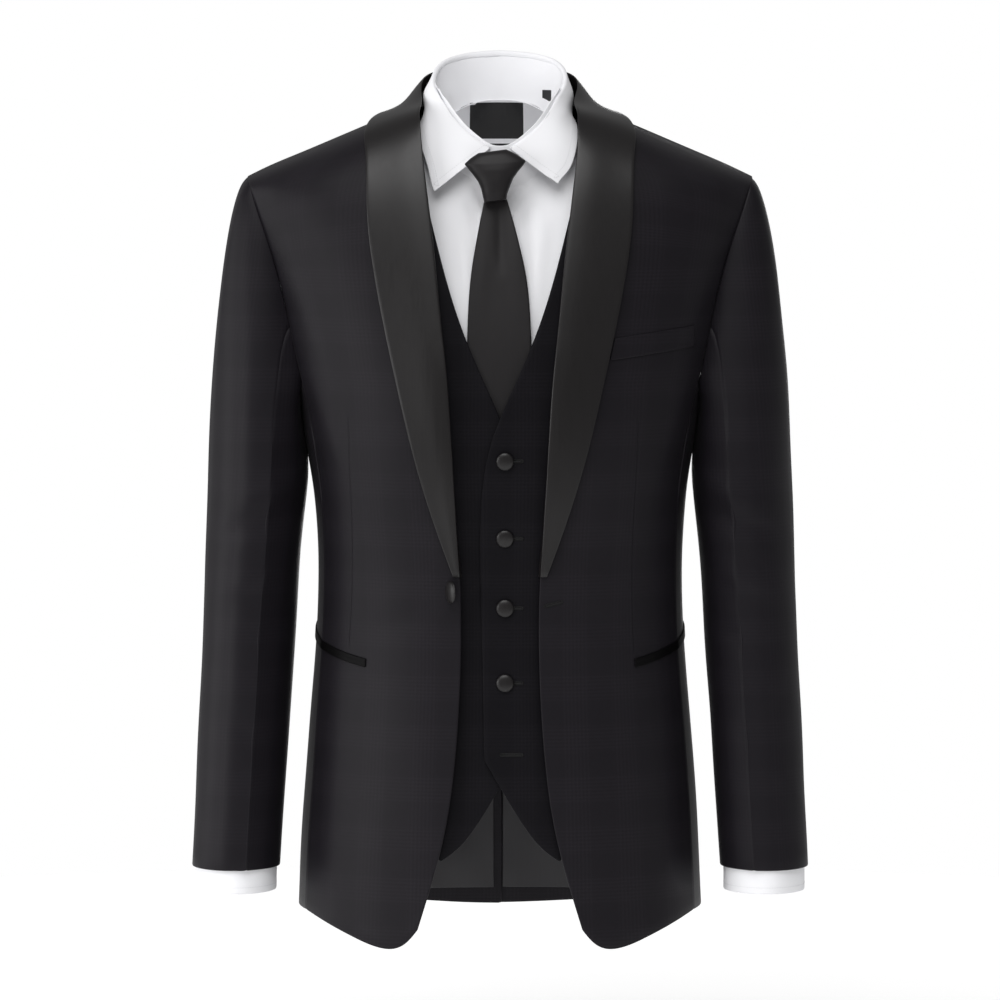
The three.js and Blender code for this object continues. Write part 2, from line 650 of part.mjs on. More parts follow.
// The closed curve of an armhole, from the shoulder down the front, under the arm and up the back.
function armholeCurve(front, underPlaces, back, rowsAt, depth) {
  const spot = ({ turn, z }) => figure(turn, z, depth(turn, z));
  const down = rowsAt.map((v) => spot(front.at(1, v)));
  const under = underPlaces.map(spot);
  const up = rowsAt.slice(1).reverse().map((v) => spot(back.at(1, v)));
  const all = [...down, ...under, ...up];
  const points = all.filter((p, i) => i === 0 || p.distanceTo(all[i - 1]) > 1);
  const lengths = [0];
  points.forEach((p, i) => lengths.push(lengths[i] + p.distanceTo(points[(i + 1) % points.length])));
  const total = lengths.at(-1);
  return { points, shares: lengths.map((length) => length / total), total };
}

const sleeveX = column(SLEEVE, "z", "x");
const sleeveY = column(SLEEVE, "z", "y");
const sleeveWide = column(SLEEVE, "z", "wide");
const sleeveDeep = column(SLEEVE, "z", "deep");

// A sleeve of the wearer's left arm: share runs round it from the shoulder by the front, and w from 0
// at the armhole through 1 below the armpit to 2 at the wrist.
function sleeveSurface(armhole, endZ) {
  const capZ = SLEEVE[0].z;
  const ring = (share, z) => {
    const angle = 2 * Math.PI * share;
    const dent = SLEEVE_FOLDS.reduce((sum, fold) => {
      const round = share - fold.share - Math.round(share - fold.share);
      return sum + fold.deep * hill(round, fold.wide) * hill(z - fold.z, fold.tall);
    }, 0);
    const x = sleeveX(z) + (sleeveWide(z) - dent) * Math.cos(angle);
    return new THREE.Vector3(x, sleeveY(z) - (sleeveDeep(z) - dent) * Math.sin(angle), z);
  };
  const onArmhole = (share) => {
    const wrapped = share - Math.floor(share);
    const i = Math.max(0, armhole.shares.findIndex((s) => s > wrapped) - 1);
    const t = (wrapped - armhole.shares[i]) / (armhole.shares[i + 1] - armhole.shares[i]);
    const next = armhole.points[(i + 1) % armhole.points.length];
    return armhole.points[i].clone().lerp(next, t);
  };
  return (share, w) => {
    if (w >= 1) return ring(share, mix(capZ, endZ, w - 1));
    const start = onArmhole(share).add(new THREE.Vector3(2 * SEAM, 0, 0));
    const end = ring(share, capZ);
    const top = Math.cos(2 * Math.PI * share);
    const leave = new THREE.Vector3(mix(SLEEVE_CAP.outBelow, SLEEVE_CAP.out, (1 + top) / 2), 0, 6 * top);
    leave.y = -Math.sin(2 * Math.PI * share) * 26;
    const arrive = new THREE.Vector3(0, 0, -mix(SLEEVE_CAP.downBelow, SLEEVE_CAP.down, (1 + top) / 2));
    const [w2, w3] = [w * w, w * w * w];
    return start
      .multiplyScalar(2 * w3 - 3 * w2 + 1)
      .add(leave.multiplyScalar(w3 - 2 * w2 + w))
      .add(end.multiplyScalar(3 * w2 - 2 * w3))
      .add(arrive.multiplyScalar(w3 - w2));
  };
}

// A patch of a sleeve's wall. Its inner points lie one cloth inwards, square to the sleeve.
function sleevePatch(surface, sign, us, vs, cloth) {
  const flip = new THREE.Vector3(sign, 1, 1);
  const inwards = (u, w) => {
    const wHere = Math.min(Math.max(w, 0.011), 1.99);
    return normalOf(surface, u, wHere, 0.002, 0.01).multiplyScalar(-cloth);
  };
  return {
    us,
    vs,
    outer: (u, w) => surface(u, w).multiply(flip),
    inner: (u, w) => surface(u, w).add(inwards(u, w)).multiply(flip),
  };
}

const leftFront = jacketFront(1);
const leftBack = jacketBack(1, 0);
const armRows = leftFront.rowsAt.slice(0, ARMHOLE_ROW + 1);
const jacketUnder = steps(4).map((u) => underArmOf(1)(u, ARMHOLE.seamZ));
const jacketArmhole = armholeCurve(leftFront, jacketUnder, leftBack, armRows, jacketDepth);
const jacketSleeve = sleeveSurface(jacketArmhole, SLEEVE.at(-1).z);
// The armhole points where the seams of the two-piece sleeve start.
const SLEEVE_SEAMS = { front: 6, back: 12 };
const sleeveRows = [0, 0.12, 0.3, 0.5, 0.72, 1, 1.15, 1.3, 1.5, 1.75, 2];
const quarterGap = SEAM / 2 / 300;
for (const { name, sign } of SIDES) {
  const { shares } = jacketArmhole;
  const { front, back } = SLEEVE_SEAMS;
  const topShares = [...shares.slice(back, -1), ...shares.slice(0, front + 1).map((s) => s + 1)];
  topShares[0] += quarterGap;
  topShares[topShares.length - 1] -= quarterGap;
  const underShares = shares.slice(front, back + 1);
  underShares[0] += quarterGap;
  underShares[underShares.length - 1] -= quarterGap;
  const top = wall([sleevePatch(jacketSleeve, sign, topShares, sleeveRows, JACKET.cloth)]);
  const under = wall([sleevePatch(jacketSleeve, sign, underShares, sleeveRows, JACKET.cloth)]);
  add(`jacket_sleeve_top_${name}`, top, COLOURS.wool);
  add(`jacket_sleeve_under_${name}`, under, COLOURS.wool);
}

// Shawl collar and lapels: one half each side, joined by a seam behind the neck.
const onFront = (x, z, height) => figure(turnAt(x, z, false), z, -height);
const shawlRows = [
  ...COLLAR_PATH,
  ...LAPEL_PATH.map(({ t, rollX, rollZ, edgeX, edgeZ }) => {
    const roll = onFront(rollX, rollZ, COLLAR.lift + COLLAR.cloth);
    const edge = onFront(edgeX, edgeZ, COLLAR.lift + COLLAR.cloth);
    return { t, rollX: roll.x, rollY: roll.y, rollZ: roll.z, edgeX: edge.x, edgeY: edge.y, edgeZ: edge.z };
  }),
];
const shawlLine = (line) => {
  const [x, y, z] = ["X", "Y", "Z"].map((axis) => column(shawlRows, "t", line + axis));
  return (t) => new THREE.Vector3(x(t), y(t), z(t));
};
const rollLine = shawlLine("roll");
const outerEdge = shawlLine("edge");
const seamX = column(COLLAR_SEAM, "t", "x");
const neckZByX = column(JACKET_NECK_BACK, "x", "z");
const SHOULDER_T = COLLAR_SEAM.at(-1).t;
const ROLL_SHARE = 0.2; // where the roll line lies, across the collar

// The line where the collar is sewn to the jacket: its neckline, then the front edge beside the roll.
function seamLine(t) {
  if (t <= SHOULDER_T) {
    const x = seamX(t);
    return figure(turnAt(x, neckZByX(x), true), neckZByX(x), -COLLAR.seamRise);
  }
  const z = mix(NECK_POINT.z, rollLine(t).z, smooth(SHOULDER_T, 0.42, t));
  return figure(turnAt(edgeOfJacket(z) - COLLAR.seamIn, z, false), z, -COLLAR.seamRise);
}

// The collar rises from its seam to the roll line, turns over and lies on the jacket out to its edge.
function shawlPoint(u, t) {
  const [seam, edge] = [seamLine(t), outerEdge(t)];
  const roll = settle(rollLine(t), COLLAR.lift + COLLAR.cloth, true);
  if (u <= ROLL_SHARE) return seam.lerp(roll, u / ROLL_SHARE);
  const s = (u - ROLL_SHARE) / (1 - ROLL_SHARE);
  const width = Math.min(1, roll.distanceTo(edge) / 30);
  const point = roll.lerp(edge, s);
  const { out } = outOfFigure(point);
  point.addScaledVector(out, COLLAR.bow * width * Math.sin(Math.PI * Math.min(1, s * 1.5)));
  return settle(point, COLLAR.lift + COLLAR.cloth, true);
}

const shawlColumns = [0, 0.1, 0.2, 0.28, 0.45, 0.72, 1];
const shoulderSteps = [0.18, 0.22, 0.26, 0.3, 0.34, 0.37, 0.385, 0.4, 0.43];
const shawlSteps = [0, 0.06, 0.12, ...shoulderSteps, ...steps(10, 0.48, 1)];
for (const { name, sign } of SIDES) {
  const place = (point) => {
    point.x = Math.max(point.x, SEAM / 2) * sign;
    return point;
  };
  const inwards = (u, t) => normalOf(shawlPoint, u, Math.min(Math.max(t, 0.01), 0.99), 0.01, 0.004);
  const patch = {
    us: shawlColumns,
    vs: shawlSteps,
    outer: (u, t) => place(shawlPoint(u, t)),
    inner: (u, t) => place(shawlPoint(u, t).addScaledVector(inwards(u, t), COLLAR.cloth)),
  };
  add(`jacket_collar_${name}`, wall([patch]), COLOURS.satin);
}

// Waistcoat.
const VEST_ROWS = rowsOf(14);
const VEST_ARMHOLE_ROW = 7;
const vestEdge = column(VEST_EDGE, "z", "x");
const vestArmhole = column(VEST_ARMHOLE, "z", "x");
const vestHemX = column(VEST_HEM_FRONT, "t", "x");
const vestHemZ = column(VEST_HEM_FRONT, "t", "z");

function vestFront(sign) {
  return bodyPanel({
    sign,
    behind: false,
    rowsAt: VEST_ROWS,
    armholeRow: VEST_ARMHOLE_ROW,
    top: ridge(VEST_NECK_BACK.at(-1), VEST_SHOULDER),
    edge: (v, startZ = VEST_NECK_BACK.at(-1).z) => {
      const z = mix(startZ, -594, v);
      return { x: vestEdge(z), z };
    },
    armhole: vestArmhole,
    seamZ: VEST_ARMPIT.seamZ,
    share: FRONT_SEAM,
    hem: (u) => ({ x: vestHemX(u), z: vestHemZ(u) }),
    hemSide: VEST_HEM.side,
    gap: SEAM / 2,
  });
}

const vestBack = (sign) =>
  bodyPanel({
    sign,
    behind: true,
    rowsAt: VEST_ROWS,
    armholeRow: VEST_ARMHOLE_ROW,
    top: backTop(VEST_NECK_BACK, VEST_SHOULDER),
    edge: (v, startZ = VEST_NECK_BACK[0].z) => ({ x: 0, z: mix(startZ, VEST_HEM.back, v) }),
    armhole: vestArmhole,
    seamZ: VEST_ARMPIT.seamZ,
    share: BACK_SEAM,
    hem: (u) => ({ x: u * BACK_SEAM * halfWidth(VEST_HEM.side), z: mix(VEST_HEM.back, VEST_HEM.side, u) }),
    hemSide: VEST_HEM.side,
    gap: 0,
  });

const vestRowsBelow = vestFront(1).rowsAt.slice(VEST_ARMHOLE_ROW);
const vestHeights = vestRowsBelow.map((v) => vestFront(1).outside(v).z);
const vestUnderArm = (sign) =>
  underArm({
    sign,
    frontShare: FRONT_SEAM,
    backShare: BACK_SEAM,
    seamZs: vestHeights,
    bottomZ: VEST_ARMPIT.bottomZ,
    hemFront: VEST_HEM.side,
    hemBack: VEST_HEM.side,
    gaps: { front: SEAM / 2, back: 0 },
  });
// The wearer's right front passes under the left one at the middle.
const underLap = (turn, z) => mix(VEST_OVER.depth, VEST_UNDER.depth, smooth(-70, -28, skin(turn, z).x));
for (const { name, sign } of SIDES) {
  const front = vestFront(sign);
  const depth = sign > 0 ? VEST_OVER.depth : underLap;
  const patch = onFigure(steps(8), front.rowsAt, front.at, depth, VEST_OVER.cloth);
  add(`waistcoat_front_${name}`, wall([patch]), COLOURS.wool);
}
const backOfVest = SIDES.flatMap(({ sign }) => {
  const us = sign > 0 ? steps(6) : steps(6, 1, 0);
  const back = vestBack(sign);
  const underSteps = sign > 0 ? steps(3, 1, 0) : steps(3);
  return [
    onFigure(us, back.rowsAt, back.at, VEST_OVER.depth, VEST_OVER.cloth),
    onFigure(underSteps, vestHeights, vestUnderArm(sign), VEST_OVER.depth, VEST_OVER.cloth),
  ];
});
add("waistcoat_back", wall(backOfVest), COLOURS.lining);

// Shirt body: fronts that meet under a placket, a yoke over the shoulders and a back below it.
const SHIRT_ARM_ROWS = [0, 0.006, 0.025, 0.05, 0.08, 0.106, 0.1217, 0.19, 0.27, 0.34];
const SHIRT_ROWS = [...SHIRT_ARM_ROWS, 0.45, 0.58, 0.72, 0.86, 1];
const SHIRT_ARMHOLE_ROW = SHIRT_ARM_ROWS.length - 1;
const SHIRT_ARMPIT = { seamZ: -248, bottomZ: -268 };
const shirtEdge = column(SHIRT_EDGE, "z", "x");

const atShirt = (depth) => (turn, z) => {
  const front = Math.abs(turn) < Math.PI / 2 ? smooth(1.5, 1, Math.abs(turn)) : 0;
  return depth + NECK_DIP.depth * front * smooth(NECK_DIP.from, NECK_DIP.full, z);
};
const shirtFront = (sign) =>
  bodyPanel({
    sign,
    behind: false,
    rowsAt: SHIRT_ROWS,
    armholeRow: SHIRT_ARMHOLE_ROW,
    top: ridge(SHIRT_NECK_BACK.at(-1), SHIRT_SHOULDER),
    edge: (v, startZ = SHIRT_NECK_BACK.at(-1).z) => {
      const z = mix(startZ, SHIRT_HEM, v);
      return { x: shirtEdge(z) + SEAM / 2, z };
    },
    armhole: (z) => armholeFront(z) - SHIRT_ARMHOLE_IN,
    seamZ: SHIRT_ARMPIT.seamZ,
    share: FRONT_SEAM,
    hem: (u) => ({ x: mix(SEAM / 2, FRONT_SEAM * halfWidth(SHIRT_HEM), u), z: SHIRT_HEM }),
    hemSide: SHIRT_HEM,
    gap: 0,
  });

const shirtBack = (sign) =>
  bodyPanel({
    sign,
    behind: true,
    rowsAt: SHIRT_ROWS,
    armholeRow: SHIRT_ARMHOLE_ROW,
    top: backTop(SHIRT_NECK_BACK, SHIRT_SHOULDER),
    edge: (v, startZ = SHIRT_NECK_BACK[0].z) => ({ x: 0, z: mix(startZ, SHIRT_HEM, v) }),
    armhole: (z) => armholeBack(z) - SHIRT_ARMHOLE_IN,
    seamZ: SHIRT_ARMPIT.seamZ,
    share: BACK_SEAM,
    hem: (u) => ({ x: u * BACK_SEAM * halfWidth(SHIRT_HEM), z: SHIRT_HEM }),
    hemSide: SHIRT_HEM,
    gap: 0,
  });

const shirtHeights = shirtFront(1).rowsAt.slice(SHIRT_ARMHOLE_ROW).map((v) => shirtFront(1).outside(v).z);
const sideTurn = Math.PI / 2;
function shirtUnderArm(sign, from, to) {
  return underArm({
    sign,
    frontShare: FRONT_SEAM,
    backShare: BACK_SEAM,
    seamZs: shirtHeights,
    bottomZ: SHIRT_ARMPIT.bottomZ,
    hemFront: SHIRT_HEM,
    hemBack: SHIRT_HEM,
    gaps: { front: 0, back: 0 },
    fromTurn: from,
    toTurn: to,
  });
}
for (const { name, sign } of SIDES) {
  const front = shirtFront(sign);
  const under = shirtUnderArm(sign, undefined, sideTurn - SEAM_TURN);
  const patches = [
    onFigure(steps(7), front.rowsAt, front.at, atShirt(SHIRT.depth), SHIRT.cloth),
    onFigure(steps(2), shirtHeights, under, SHIRT.depth, SHIRT.cloth),
  ];
  add(`shirt_front_${name}`, wall(patches), COLOURS.shirt);
}
const shirtRowsAt = shirtBack(1).rowsAt;
const yokePatches = [];
const backPatches = [];
const yokeEnd = shirtRowsAt[YOKE_ROWS];
for (const { sign } of SIDES) {
  const back = shirtBack(sign);
  const us = sign > 0 ? steps(7) : steps(7, 1, 0);
  const yokeRows = shirtRowsAt.slice(0, YOKE_ROWS + 1);
  yokePatches.push(onFigure(us, yokeRows, back.at, SHIRT.depth, SHIRT.cloth));
  const lowerRows = [yokeEnd + 0.0008, ...shirtRowsAt.slice(YOKE_ROWS + 1)];
  backPatches.push(onFigure(us, lowerRows, back.at, SHIRT.depth, SHIRT.cloth));
  const under = shirtUnderArm(sign, sideTurn + SEAM_TURN, undefined);
  const underSteps = sign > 0 ? steps(2, 1, 0) : steps(2);
  backPatches.push(onFigure(underSteps, shirtHeights, under, SHIRT.depth, SHIRT.cloth));
}
add("shirt_yoke", wall(yokePatches), COLOURS.shirt);
add("shirt_back", wall(backPatches), COLOURS.shirt);
const placketAt = (u, z) => ({ turn: turnAt(mix(-PLACKET.half, PLACKET.half, u), z, false), z });
const frontHeights = shirtFront(1).rowsAt.map((v) => mix(-1, SHIRT_HEM, v));
const placketHeights = [PLACKET.top, ...frontHeights.filter((z) => z < PLACKET.top - 18)];
const placket = onFigure(steps(2), placketHeights, placketAt, atShirt(PLACKET.depth), PLACKET.cloth);
add("shirt_placket", wall([placket]), COLOURS.shirt);

// Shirt sleeves inside the jacket's, and the cuffs that show below them.
const shirtUnder = [
  ...steps(2).map((u) => shirtUnderArm(1, undefined, sideTurn)(u, SHIRT_ARMPIT.seamZ)),
  ...steps(2).slice(1).map((u) => shirtUnderArm(1, sideTurn, undefined)(u, SHIRT_ARMPIT.seamZ)),
];
const shirtArmRows = shirtFront(1).rowsAt.slice(0, SHIRT_ARMHOLE_ROW + 1);
const shirtArmhole = armholeCurve(shirtFront(1), shirtUnder, shirtBack(1), shirtArmRows, () => SHIRT.depth);
const ARMHOLE_MIDDLE_Z = -170;
const lowestSleeve = SLEEVE.at(-1).z;
const cuffShare = 1 + (SHIRT_CUFF.top + SEAM - SLEEVE[0].z) / (lowestSleeve - SLEEVE[0].z);
const shirtShares = shirtArmhole.shares;
// A ring of the shirt sleeve: its armhole at w = 0, and from there the jacket's sleeve, moved in.
function shirtSleevePoint(k, w, extra) {
  const share = shirtShares[k];
  const start = shirtArmhole.points[k % shirtArmhole.points.length].clone();
  start.x += 3 * SEAM;
  if (w === 0) {
    const middle = new THREE.Vector3(start.x, 0, ARMHOLE_MIDDLE_Z);
    return start.add(middle.sub(start).normalize().multiplyScalar(extra));
  }
  const wHere = Math.min(Math.max(w, 0.02), 1.99);
  const outwards = normalOf(jacketSleeve, share, wHere, 0.002, 0.01);
  const inside = mix(SHIRT_SLEEVE_IN.atTop, SHIRT_SLEEVE_IN.below, Math.min(1, 2 * w));
  const point = jacketSleeve(share, w).addScaledVector(outwards, -inside - extra);
  point.x = Math.max(point.x, start.x + w); // never back through the armhole
  return point;
}
const shirtSleeveRows = [0, 0.12, 0.3, 0.5, 0.72, 1, 1.3, 1.5, cuffShare];
for (const { name, sign } of SIDES) {
  const flip = new THREE.Vector3(sign, 1, 1);
  const sleeve = {
    us: shirtShares.map((_, k) => k),
    vs: shirtSleeveRows,
    outer: (k, w) => shirtSleevePoint(k, w, 0).multiply(flip),
    inner: (k, w) => shirtSleevePoint(k, w, SHIRT.cloth).multiply(flip),
  };
  add(`shirt_sleeve_${name}`, wall([sleeve]), COLOURS.shirt);
  const cuffRing = (share, z) => {
    const angle = 2 * Math.PI * share;
    const level = Math.max(z, lowestSleeve);
    const [wide, deep] = [sleeveWide(level) - SHIRT_CUFF.inside, sleeveDeep(level) - SHIRT_CUFF.inside];
    const x = sleeveX(level) + wide * Math.cos(angle);
    return new THREE.Vector3(x, sleeveY(level) - deep * Math.sin(angle), z);
  };
  const inwards = (u, z) => normalOf(cuffRing, u, z, 0.002, 0.5).multiplyScalar(SHIRT_CUFF.cloth);
  const patch = {
    us: jacketArmhole.shares,
    vs: [SHIRT_CUFF.top, lowestSleeve, SHIRT_CUFF.bottom],
    outer: (u, z) => cuffRing(u, z).multiply(flip),
    inner: (u, z) => cuffRing(u, z).add(inwards(u, z)).multiply(flip),
  };
  add(`shirt_cuff_${name}`, wall([patch]), COLOURS.shirt);
}

// Shirt collar: a stand on the neckline of the shirt, and a fall that turns over it.
const neckLine = (line) => {
  const [x, y, z] = ["X", "Y", "Z"].map((axis) => column(NECK, "turn", line + axis));
  return (turn) => {
    const round = Math.abs(turn);
    return new THREE.Vector3(Math.sign(turn || 1) * x(round), y(round), z(round));
  };
};
const foldLine = neckLine("fold");
const fallEdge = neckLine("edge");
const shirtNeckZ = column(SHIRT_NECK_BACK, "x", "z");
const awayFromNeck = (turn) => new THREE.Vector3(Math.sin(turn * DEGREE), -Math.cos(turn * DEGREE), 0);

// The neckline of the shirt, by the same turns.
function shirtNeckline(turn) {
  const [side, round] = [Math.sign(turn || 1), Math.abs(turn)];
  if (round <= NECK_FRONT) {
    const share = (round / NECK_FRONT) ** 1.15;
    const z = mix(SHIRT_EDGE.at(-2).z, SHIRT_NECK_BACK.at(-1).z, share);
    const place = turnAt(side * Math.max(0.01, shirtEdge(z)), z, false);
    return figure(place, z, atShirt(SHIRT.depth)(place, z));
  }
  const behind = (round - NECK_FRONT) / (180 - NECK_FRONT);
  const x = SHIRT_NECK_BACK.at(-1).x * Math.cos(behind * (Math.PI / 2));
  return figure(turnAt(side * Math.max(0.01, x), shirtNeckZ(x), true), shirtNeckZ(x), SHIRT.depth);
}
function standPoint(turn, v) {
  const low = shirtNeckline(turn);
  const top = foldLine(turn);
  const rise = top.clone().sub(low).normalize().multiplyScalar(3.15 * SEAM);
  return low.add(rise).lerp(top, v);
}
const closedTurns = [...NECK_TURNS.slice(1).reverse().map((turn) => -turn), ...NECK_TURNS];
const onBack = (turn, point) => (Math.abs(turn) === 180 ? point.setX(0) : point);
const standPatch = {
  us: closedTurns,
  vs: [0, TIE_BAND.from, TIE_BAND.to, 0.97],
  outer: (turn, v) => onBack(turn, standPoint(turn, v)),
  inner: (turn, v) => onBack(turn, standPoint(turn, v).addScaledVector(awayFromNeck(turn), -STAND_CLOTH)),
};
add("shirt_collar_stand", wall([standPatch]), COLOURS.shirt);

const fallPoint = (turn, v) => {
  const bow = (FALL.gap + FALL.cloth) * (1 - v) + FALL.bow * Math.sin(Math.PI * v) ** 0.8;
  const edge = settle(fallEdge(turn), -FALL.edgeDepth);
  const point = foldLine(turn).lerp(edge, v).addScaledVector(awayFromNeck(turn), bow);
  return settle(point, FALL.cloth + 2 * SEAM - SHIRT.depth, true);
};
const fallPatches = SIDES.map(({ sign }) => ({
  us: NECK_TURNS.slice(1).map((turn) => sign * turn),
  vs: [0, 0.33, 0.66, 1],
  outer: (turn, v) => onBack(turn, fallPoint(turn, v)),
  inner: (turn, v) => onBack(turn, fallPoint(turn, v).addScaledVector(awayFromNeck(turn), -FALL.cloth)),
}));
fallPatches[1].us.reverse();
add("shirt_collar_fall", wall(fallPatches), COLOURS.shirt);

// Tie.
const knotMid = column(KNOT, "z", "mid");
const knotHalf = column(KNOT, "z", "half");
const knotBulge = column(KNOT, "z", "bulge");
const knotPoint = (turn, z) => {
  const [s, c] = [Math.sin(turn), Math.cos(turn)];
  const reach = (Math.abs(s) ** KNOT_FLATTENING + Math.abs(c) ** KNOT_FLATTENING) ** (-1 / KNOT_FLATTENING);
  const middle = KNOT_SLOPE.y + (z - KNOT_SLOPE.z) * KNOT_SLOPE.lean;
  const x = knotMid(z) + knotHalf(z) * reach * s;
  return new THREE.Vector3(x, middle - (knotBulge(z) / 2) * reach * c, z);
};
function closedRings(point, turns, heights) {
  const positions = [];
  const index = [];
  heights.forEach((z) => turns.forEach((turn) => positions.push(...point(turn, z).toArray())));
  const n = turns.length;
  for (let j = 0; j + 1 < heights.length; j += 1)
    for (let i = 0; i < n; i += 1) {
      const [a, b] = [j * n + i, j * n + ((i + 1) % n)];
      index.push(a, b, b + n, a, b + n, a + n);
    }
  for (let i = 1; i + 1 < n; i += 1) {
    index.push(0, i + 1, i);
    const last = (heights.length - 1) * n;
    index.push(last, last + i, last + i + 1);
  }
  return facingOut(positions, index);
}
const knotTurns = steps(16, 0, 2 * Math.PI).slice(0, 16);
const knotHeights = KNOT.map((row) => row.z);
add("tie_knot", closedRings(knotPoint, knotTurns, knotHeights), COLOURS.tie);

const bladeMid = column(BLADE, "z", "mid");
const bladeHalf = column(BLADE, "z", "half");
const bladeAt = (u, z) => ({ turn: turnAt(bladeMid(z) + mix(-1, 1, u) * bladeHalf(z), z, false), z });
const bladeHeights = [-84, -98, -111, -138, -160, -187, -220, -280, -340, -400, -430, -460];
add("tie_blade", wall([onFigure(steps(4), bladeHeights, bladeAt, TIE.depth, TIE.cloth)]), COLOURS.tie);

// The band of the tie, hidden between the stand and the fall of the shirt collar.
const bandPoint = (turn, v, out) =>
  standPoint(turn, v).addScaledVector(awayFromNeck(turn), TIE_BAND.gap + out);
const bandPatches = SIDES.map(({ sign }) => ({
  us: NECK_TURNS.slice(3).map((turn) => sign * turn),
  vs: [TIE_BAND.from, TIE_BAND.to],
  outer: (turn, v) => onBack(turn, bandPoint(turn, v, TIE_BAND.cloth)),
  inner: (turn, v) => onBack(turn, bandPoint(turn, v, 0)),
}));
bandPatches[1].us.reverse();
add("tie_band", wall(bandPatches), COLOURS.tie);

// Covered buttons and pieces that lie on a panel keep this far from its curve, so that no facets meet.
const ON_TOP = 0.8;

// Covered buttons: a domed disc on a short thread shank.
function buttonGeometry(radius, thick, shank) {
  const dome = 0.35 * thick;
  const profile = [
    [0, 0],
    [1.3, 0],
    [1.3, shank],
    [radius * 0.8, shank],
    [radius, shank + thick * 0.3],
    [radius * 0.94, shank + thick - dome],
    [radius * 0.6, shank + thick - dome * 0.25],
    [0, shank + thick],
  ];
  return new THREE.LatheGeometry(profile.map(([x, y]) => new THREE.Vector2(x, y)), 12);
}
// The place on the outside of a panel that is seen at x and z from the front.
function onPanel(name, x, z) {
  const ray = new THREE.Raycaster(new THREE.Vector3(x, -300, z), new THREE.Vector3(0, 1, 0));
  return ray.intersectObject(suit.getObjectByName(name))[0].point;
}
function addButton(name, place, face, radius, thick, shank) {
  const button = add(name, buttonGeometry(radius, thick, shank), COLOURS.satin);
  button.position.copy(place);
  button.quaternion.setFromUnitVectors(new THREE.Vector3(0, 1, 0), face);
}
VEST_BUTTONS.forEach((z, i) => {
  const face = normalOf(skin, turnAt(VEST_BUTTON.x, z, false), z, 0.004, 0.6);
  const place = onPanel("waistcoat_front_left", VEST_BUTTON.x, z).addScaledVector(face, SEAM);
  addButton(`waistcoat_button_${i + 1}`, place, face, VEST_BUTTON.radius, VEST_BUTTON.thick, 1.2);
});
const swing = JACKET_BUTTON.turn * DEGREE;
const buttonFace = new THREE.Vector3(-Math.sin(swing), -Math.cos(swing), 0);
const buttonPlace = onPanel("jacket_front_right", JACKET_BUTTON.x, JACKET_BUTTON.z)
  .add(new THREE.Vector3(0, -JACKET_BUTTON.radius * Math.sin(swing) + SEAM, 0))
  .addScaledVector(buttonFace, -JACKET_BUTTON.thick / 2);
addButton("jacket_button", buttonPlace, buttonFace, JACKET_BUTTON.radius, JACKET_BUTTON.thick, 1.6);

const aboveJacket = (cloth) => (turn, z) => jacketDepth(turn, z) - ON_TOP - cloth;

// Pockets: two satin jets on each hip, and a welt on the wearer's left chest.
const pocketStart = turnAt(HIP_POCKET.insideX, HIP_POCKET.insideZ, false);
for (const { name, sign } of SIDES) {
  ["upper", "lower"].forEach((jet, k) => {
    const at = (u, v) => {
      const turn = mix(pocketStart, HIP_POCKET.outsideTurn * DEGREE, u);
      const top = HIP_POCKET.insideZ + HIP_POCKET.rise * u - k * (HIP_POCKET.jet / 2 + SEAM / 2);
      return { turn: sign * turn, z: top - v * (HIP_POCKET.jet / 2 - SEAM / 2) };
    };
    const patch = onFigure(steps(10), [0, 1], at, aboveJacket(HIP_POCKET.cloth), HIP_POCKET.cloth);
    add(`jacket_pocket_${jet}_${name}`, wall([patch]), COLOURS.satin);
  });
}
const weltAt = (u, v) => {
  const x = mix(BREAST_WELT.innerX - BREAST_WELT.tuck * v, BREAST_WELT.outerX, u);
  const top = mix(BREAST_WELT.innerTop, BREAST_WELT.outerTop, u);
  const z = mix(top, mix(BREAST_WELT.innerLow, BREAST_WELT.outerLow, u), v);
  return { turn: turnAt(x, z, false), z };
};
const weltPatch = onFigure(steps(8), steps(2), weltAt, aboveJacket(WELT_CLOTH), WELT_CLOTH);
add("jacket_breast_welt", wall([weltPatch]), COLOURS.wool);

// Plain woven labels on the inside of the shirt's yoke.
function addLabel(name, { x, half, top, low, cloth }) {
  const yoke = suit.getObjectByName("shirt_yoke");
  const place = (u, v, off) => {
    const from = new THREE.Vector3(x + mix(-1, 1, u) * half, 0, mix(top, low, v));
    const { point } = new THREE.Raycaster(from, new THREE.Vector3(0, 1, 0)).intersectObject(yoke)[0];
    return point.add(new THREE.Vector3(0, -off, 0));
  };
  const patch = {
    us: steps(4),
    vs: steps(4),
    outer: (u, v) => place(u, v, 3 * SEAM),
    inner: (u, v) => place(u, v, 3 * SEAM + cloth),
  };
  add(name, wall([patch]), COLOURS.label);
}
addLabel("label_main", LABEL);
addLabel("label_strip", LABEL_STRIP);
const tabPoint = (turn, z) => {
  const [low, top] = [standPoint(turn, 0).z, foldLine(turn).z];
  const inside = STAND_CLOTH + 3 * SEAM;
  return standPoint(turn, (z - low) / (top - low)).addScaledVector(awayFromNeck(turn), -inside);
};
const tabPatch = {
  us: steps(2, SIZE_TAB.fromTurn, SIZE_TAB.toTurn),
  vs: [SIZE_TAB.top, SIZE_TAB.low],
  outer: tabPoint,
  inner: (turn, z) => tabPoint(turn, z).addScaledVector(awayFromNeck(turn), -SIZE_TAB.cloth),
};
add("label_size", wall([tabPatch]), COLOURS.label);

export default suit;
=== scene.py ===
"""Looks of a dinner jacket worn open over a waistcoat, a dress shirt and a long tie.

Lengths in fields and tables are in millimetres, and what is built from them is in metres. +Z is up,
the wearer faces -Y and +X is the wearer's left. Each piece of cloth starts from the face of its solid,
is made finer, takes its folds, and is given its thickness again.
"""

